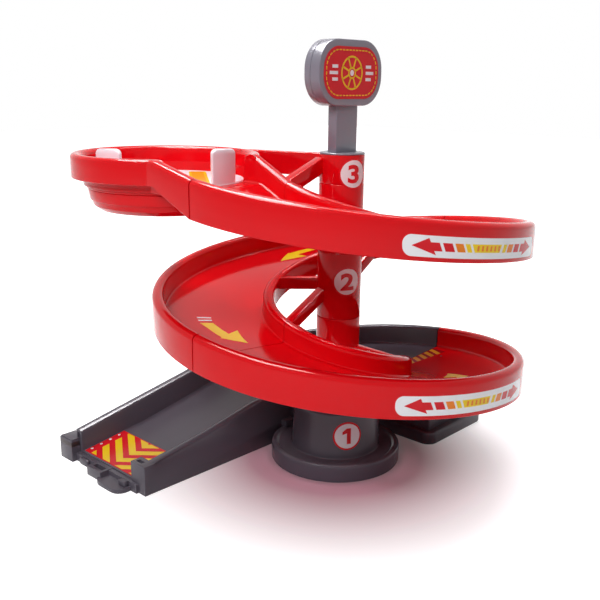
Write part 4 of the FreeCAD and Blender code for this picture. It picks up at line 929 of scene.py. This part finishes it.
# Sign face: red field, dashed yellow border, a plain wheel between two stacks of bars
WHEEL, WHEEL_WIDTH, HUB, HUB_WIDTH, SPOKES, SPOKE_END = 8.6, 0.9, 3.0, 0.8, 8, 8.0
SIGN_BAR_START, SIGN_BAR_HALF, SIGN_BAR_PERIOD = 11.2, 0.8, 3.2
DASHES, DASH_WIDTH, DASH_SPAN = 42, 0.55, (0.2, 0.75)


def on_sign(u, v, height):
    return (SIGN_FACE + height, u, v)


def sign_sheet(name, shapes, material):
    sheet(name, shapes, on_sign, material, 0.23, FINE, 50)


def dashed(outline):
    """Short strokes along a closed outline."""
    spots = [Vector(point) for point in outline] + [Vector(outline[0])]
    lengths = [0.0]
    for a, b in zip(spots, spots[1:]):
        lengths.append(lengths[-1] + (b - a).length)

    def at(distance):
        for k in range(len(lengths) - 1):
            if lengths[k + 1] >= distance:
                span = lengths[k + 1] - lengths[k]
                part = (distance - lengths[k]) / span if span else 0
                return tuple(spots[k].lerp(spots[k + 1], part))
        return tuple(spots[-1])

    made = []
    for k in range(DASHES):
        made += stroke([at(lengths[-1] * (k + share) / DASHES) for share in DASH_SPAN], DASH_WIDTH)
    return made


patch = sheet("sign_face", [sign_outline(3.6)], on_sign, PRINT_RED, 0.02, 0.2, 50)
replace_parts(patch, "sign_label")
sign_sheet("sign_dashes", dashed(sign_outline(5.4)), PRINT_YELLOW)
wheel = ring_shapes(WHEEL, WHEEL_WIDTH, SIGN_MIDDLE) + ring_shapes(HUB, HUB_WIDTH, SIGN_MIDDLE, 32)
for k in range(SPOKES):
    turn = 2 * math.pi * (k + 0.5) / SPOKES
    ends = [(reach * math.cos(turn), SIGN_MIDDLE + reach * math.sin(turn)) for reach in (HUB, SPOKE_END)]
    wheel += stroke(ends, WHEEL_WIDTH)
sign_sheet("sign_wheel", wheel, PRINT_YELLOW)
sign_sheet("sign_hub", [disc(1.5, 24, v=SIGN_MIDDLE)], PRINT_WHITE)
bars = []
for side in (-1, 1):
    for row, length in ((-1, 4.4), (0, 6.4), (1, 4.4)):
        u, far = side * SIGN_BAR_START, side * (SIGN_BAR_START + length)
        low = SIGN_MIDDLE + SIGN_BAR_PERIOD * row - SIGN_BAR_HALF
        high = SIGN_MIDDLE + SIGN_BAR_PERIOD * row + SIGN_BAR_HALF
        bars.append([(u, low), (far, low), (far, high), (u, high)])
sign_sheet("sign_bars", bars, PRINT_WHITE)


# Steel nodes that stay as they are in the construction
for name in ("cover_screws", "sign_screws", "turntable_screw", "turntable_washer"):
    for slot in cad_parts[name].material_slots:
        slot.material = STEEL


# Floor: white away from the toy, with its shadow near it, where its colour is also darkened and reddened as a
# painted shade and a painted red reflection of the toy. Sizes in metres.
LIFT_LOW, LIFT_SPAN = 0.06, (0.05, 0.14)
PAINTED_SHADE_SPAN = (0.045, 0.13)
PAINTED_SHADE_COLOUR, FAR_COLOUR = (0.46, 0.2, 0.27), (0.62, 0.62, 0.63)
FLOOR_REACH, FLOOR_LEVEL = 3, -0.0002


def background_ray(tree):
    """One where the camera, a reflection or a clear piece looks at the background, and otherwise zero."""
    path = tree.nodes.new("ShaderNodeLightPath")
    seen = combine(tree, "MAXIMUM", path.outputs["Is Camera Ray"], path.outputs["Is Glossy Ray"])
    return combine(tree, "MAXIMUM", seen, path.outputs["Is Transmission Ray"])


floor_material = node_material("studio_floor", FAR_COLOUR, 0.5, 0.02, 4.0, shade=0.004, gloss=0.2)
tree = floor_material.node_tree
shader = tree.nodes["Principled BSDF"]
place = tree.nodes.new("ShaderNodeTexCoord")
away = tree.nodes.new("ShaderNodeVectorMath")
away.operation = "LENGTH"
tree.links.new(place.outputs["Object"], away.inputs[0])
distance = away.outputs["Value"]
white = combine(tree, "MULTIPLY", background_ray(tree), map_range(tree, distance, LIFT_SPAN, (LIFT_LOW, 1)))
tree.links.new(white, shader.inputs["Emission Strength"])
shader.inputs["Emission Color"].default_value = (1, 1, 1, 1)
# Painted shade and painted red reflection: the floor's colour darkens and reddens towards the toy
painted_shade = colour_mix(tree, map_range(tree, distance, PAINTED_SHADE_SPAN), PAINTED_SHADE_COLOUR, FAR_COLOUR)
tree.links.new(painted_shade, shader.inputs["Base Color"])
made = bmesh.new()
for x, y in ((-1, -1), (1, -1), (1, 1), (-1, 1)):
    made.verts.new((x * FLOOR_REACH, y * FLOOR_REACH, FLOOR_LEVEL))
made.faces.new(made.verts[:])
mesh = bpy.data.meshes.new("studio_floor")
made.to_mesh(mesh)
made.free()
mesh.materials.append(floor_material)
floor = bpy.data.objects.new("studio_floor", mesh)
bpy.context.scene.collection.objects.link(floor)


# World: white where it is seen, and otherwise a soft light that grows towards one side of the room
AMBIENT, BACKDROP = 0.11, 0.75
BACKDROP_WAY, BACKDROP_SPAN = (-0.65, 0.76, 0.0), (0.1, 0.9)
world = bpy.data.worlds.new("studio")
bpy.context.scene.world = world
world.use_nodes = True
tree = world.node_tree
background = tree.nodes["Background"]
background.inputs["Color"].default_value = (1, 1, 1, 1)
place = tree.nodes.new("ShaderNodeTexCoord")
toward = tree.nodes.new("ShaderNodeVectorMath")
toward.operation = "DOT_PRODUCT"
toward.inputs[1].default_value = BACKDROP_WAY
tree.links.new(place.outputs["Generated"], toward.inputs[0])
room = map_range(tree, toward.outputs["Value"], BACKDROP_SPAN, (AMBIENT, BACKDROP))
strength = combine(tree, "MAXIMUM", background_ray(tree), room)
tree.links.new(strength, background.inputs["Strength"])


# Lamps: places and sizes in metres, power in watts
LAMP_TARGET = Vector((0, 0, 0.12))


def soft_light(name, place, size, power):
    """A rectangular lamp that faces the toy."""
    data = bpy.data.lights.new(name, "AREA")
    data.shape = "RECTANGLE"
    data.size, data.size_y = size
    data.energy = power
    light = bpy.data.objects.new(name, data)
    light.location = place
    light.rotation_euler = (LAMP_TARGET - Vector(place)).to_track_quat("-Z", "Y").to_euler()
    bpy.context.scene.collection.objects.link(light)
    return light


key = soft_light("key_light", (0.3, -0.84, 0.72), (0.6, 0.4), 7.8)
key.visible_glossy = False
glint = soft_light("glint_light", (-0.2, -0.2, 1.0), (0.9, 0.5), 55)
glint.visible_diffuse = False
soft_light("top_light", (-0.2, 0.25, 1.1), (0.8, 0.2), 8)


# Camera: the photograph's frame is 600 pixels wide
IMAGE_WIDTH, FOCAL_PIXELS, SENSOR_WIDTH = 600, 825.03, 36
CAMERA_PLACE = Vector((290.883, -342.183, 211.14))
CAMERA_RIGHT = Vector((0.72758245, 0.68592146, 0.01164158))
CAMERA_UP = Vector((-0.18229177, 0.17694834, 0.96719129))
camera_data = bpy.data.cameras.new("camera")
camera_data.sensor_width = SENSOR_WIDTH
camera_data.lens = FOCAL_PIXELS / IMAGE_WIDTH * SENSOR_WIDTH
camera_data.clip_start = 0.01
camera = bpy.data.objects.new("camera", camera_data)
turned = Matrix((CAMERA_RIGHT, CAMERA_UP, CAMERA_RIGHT.cross(CAMERA_UP))).transposed().to_4x4()
camera.matrix_world = Matrix.Translation(CAMERA_PLACE * MM) @ turned
bpy.context.scene.collection.objects.link(camera)
bpy.context.scene.camera = camera
bpy.context.scene.view_settings.view_transform = "Standard"
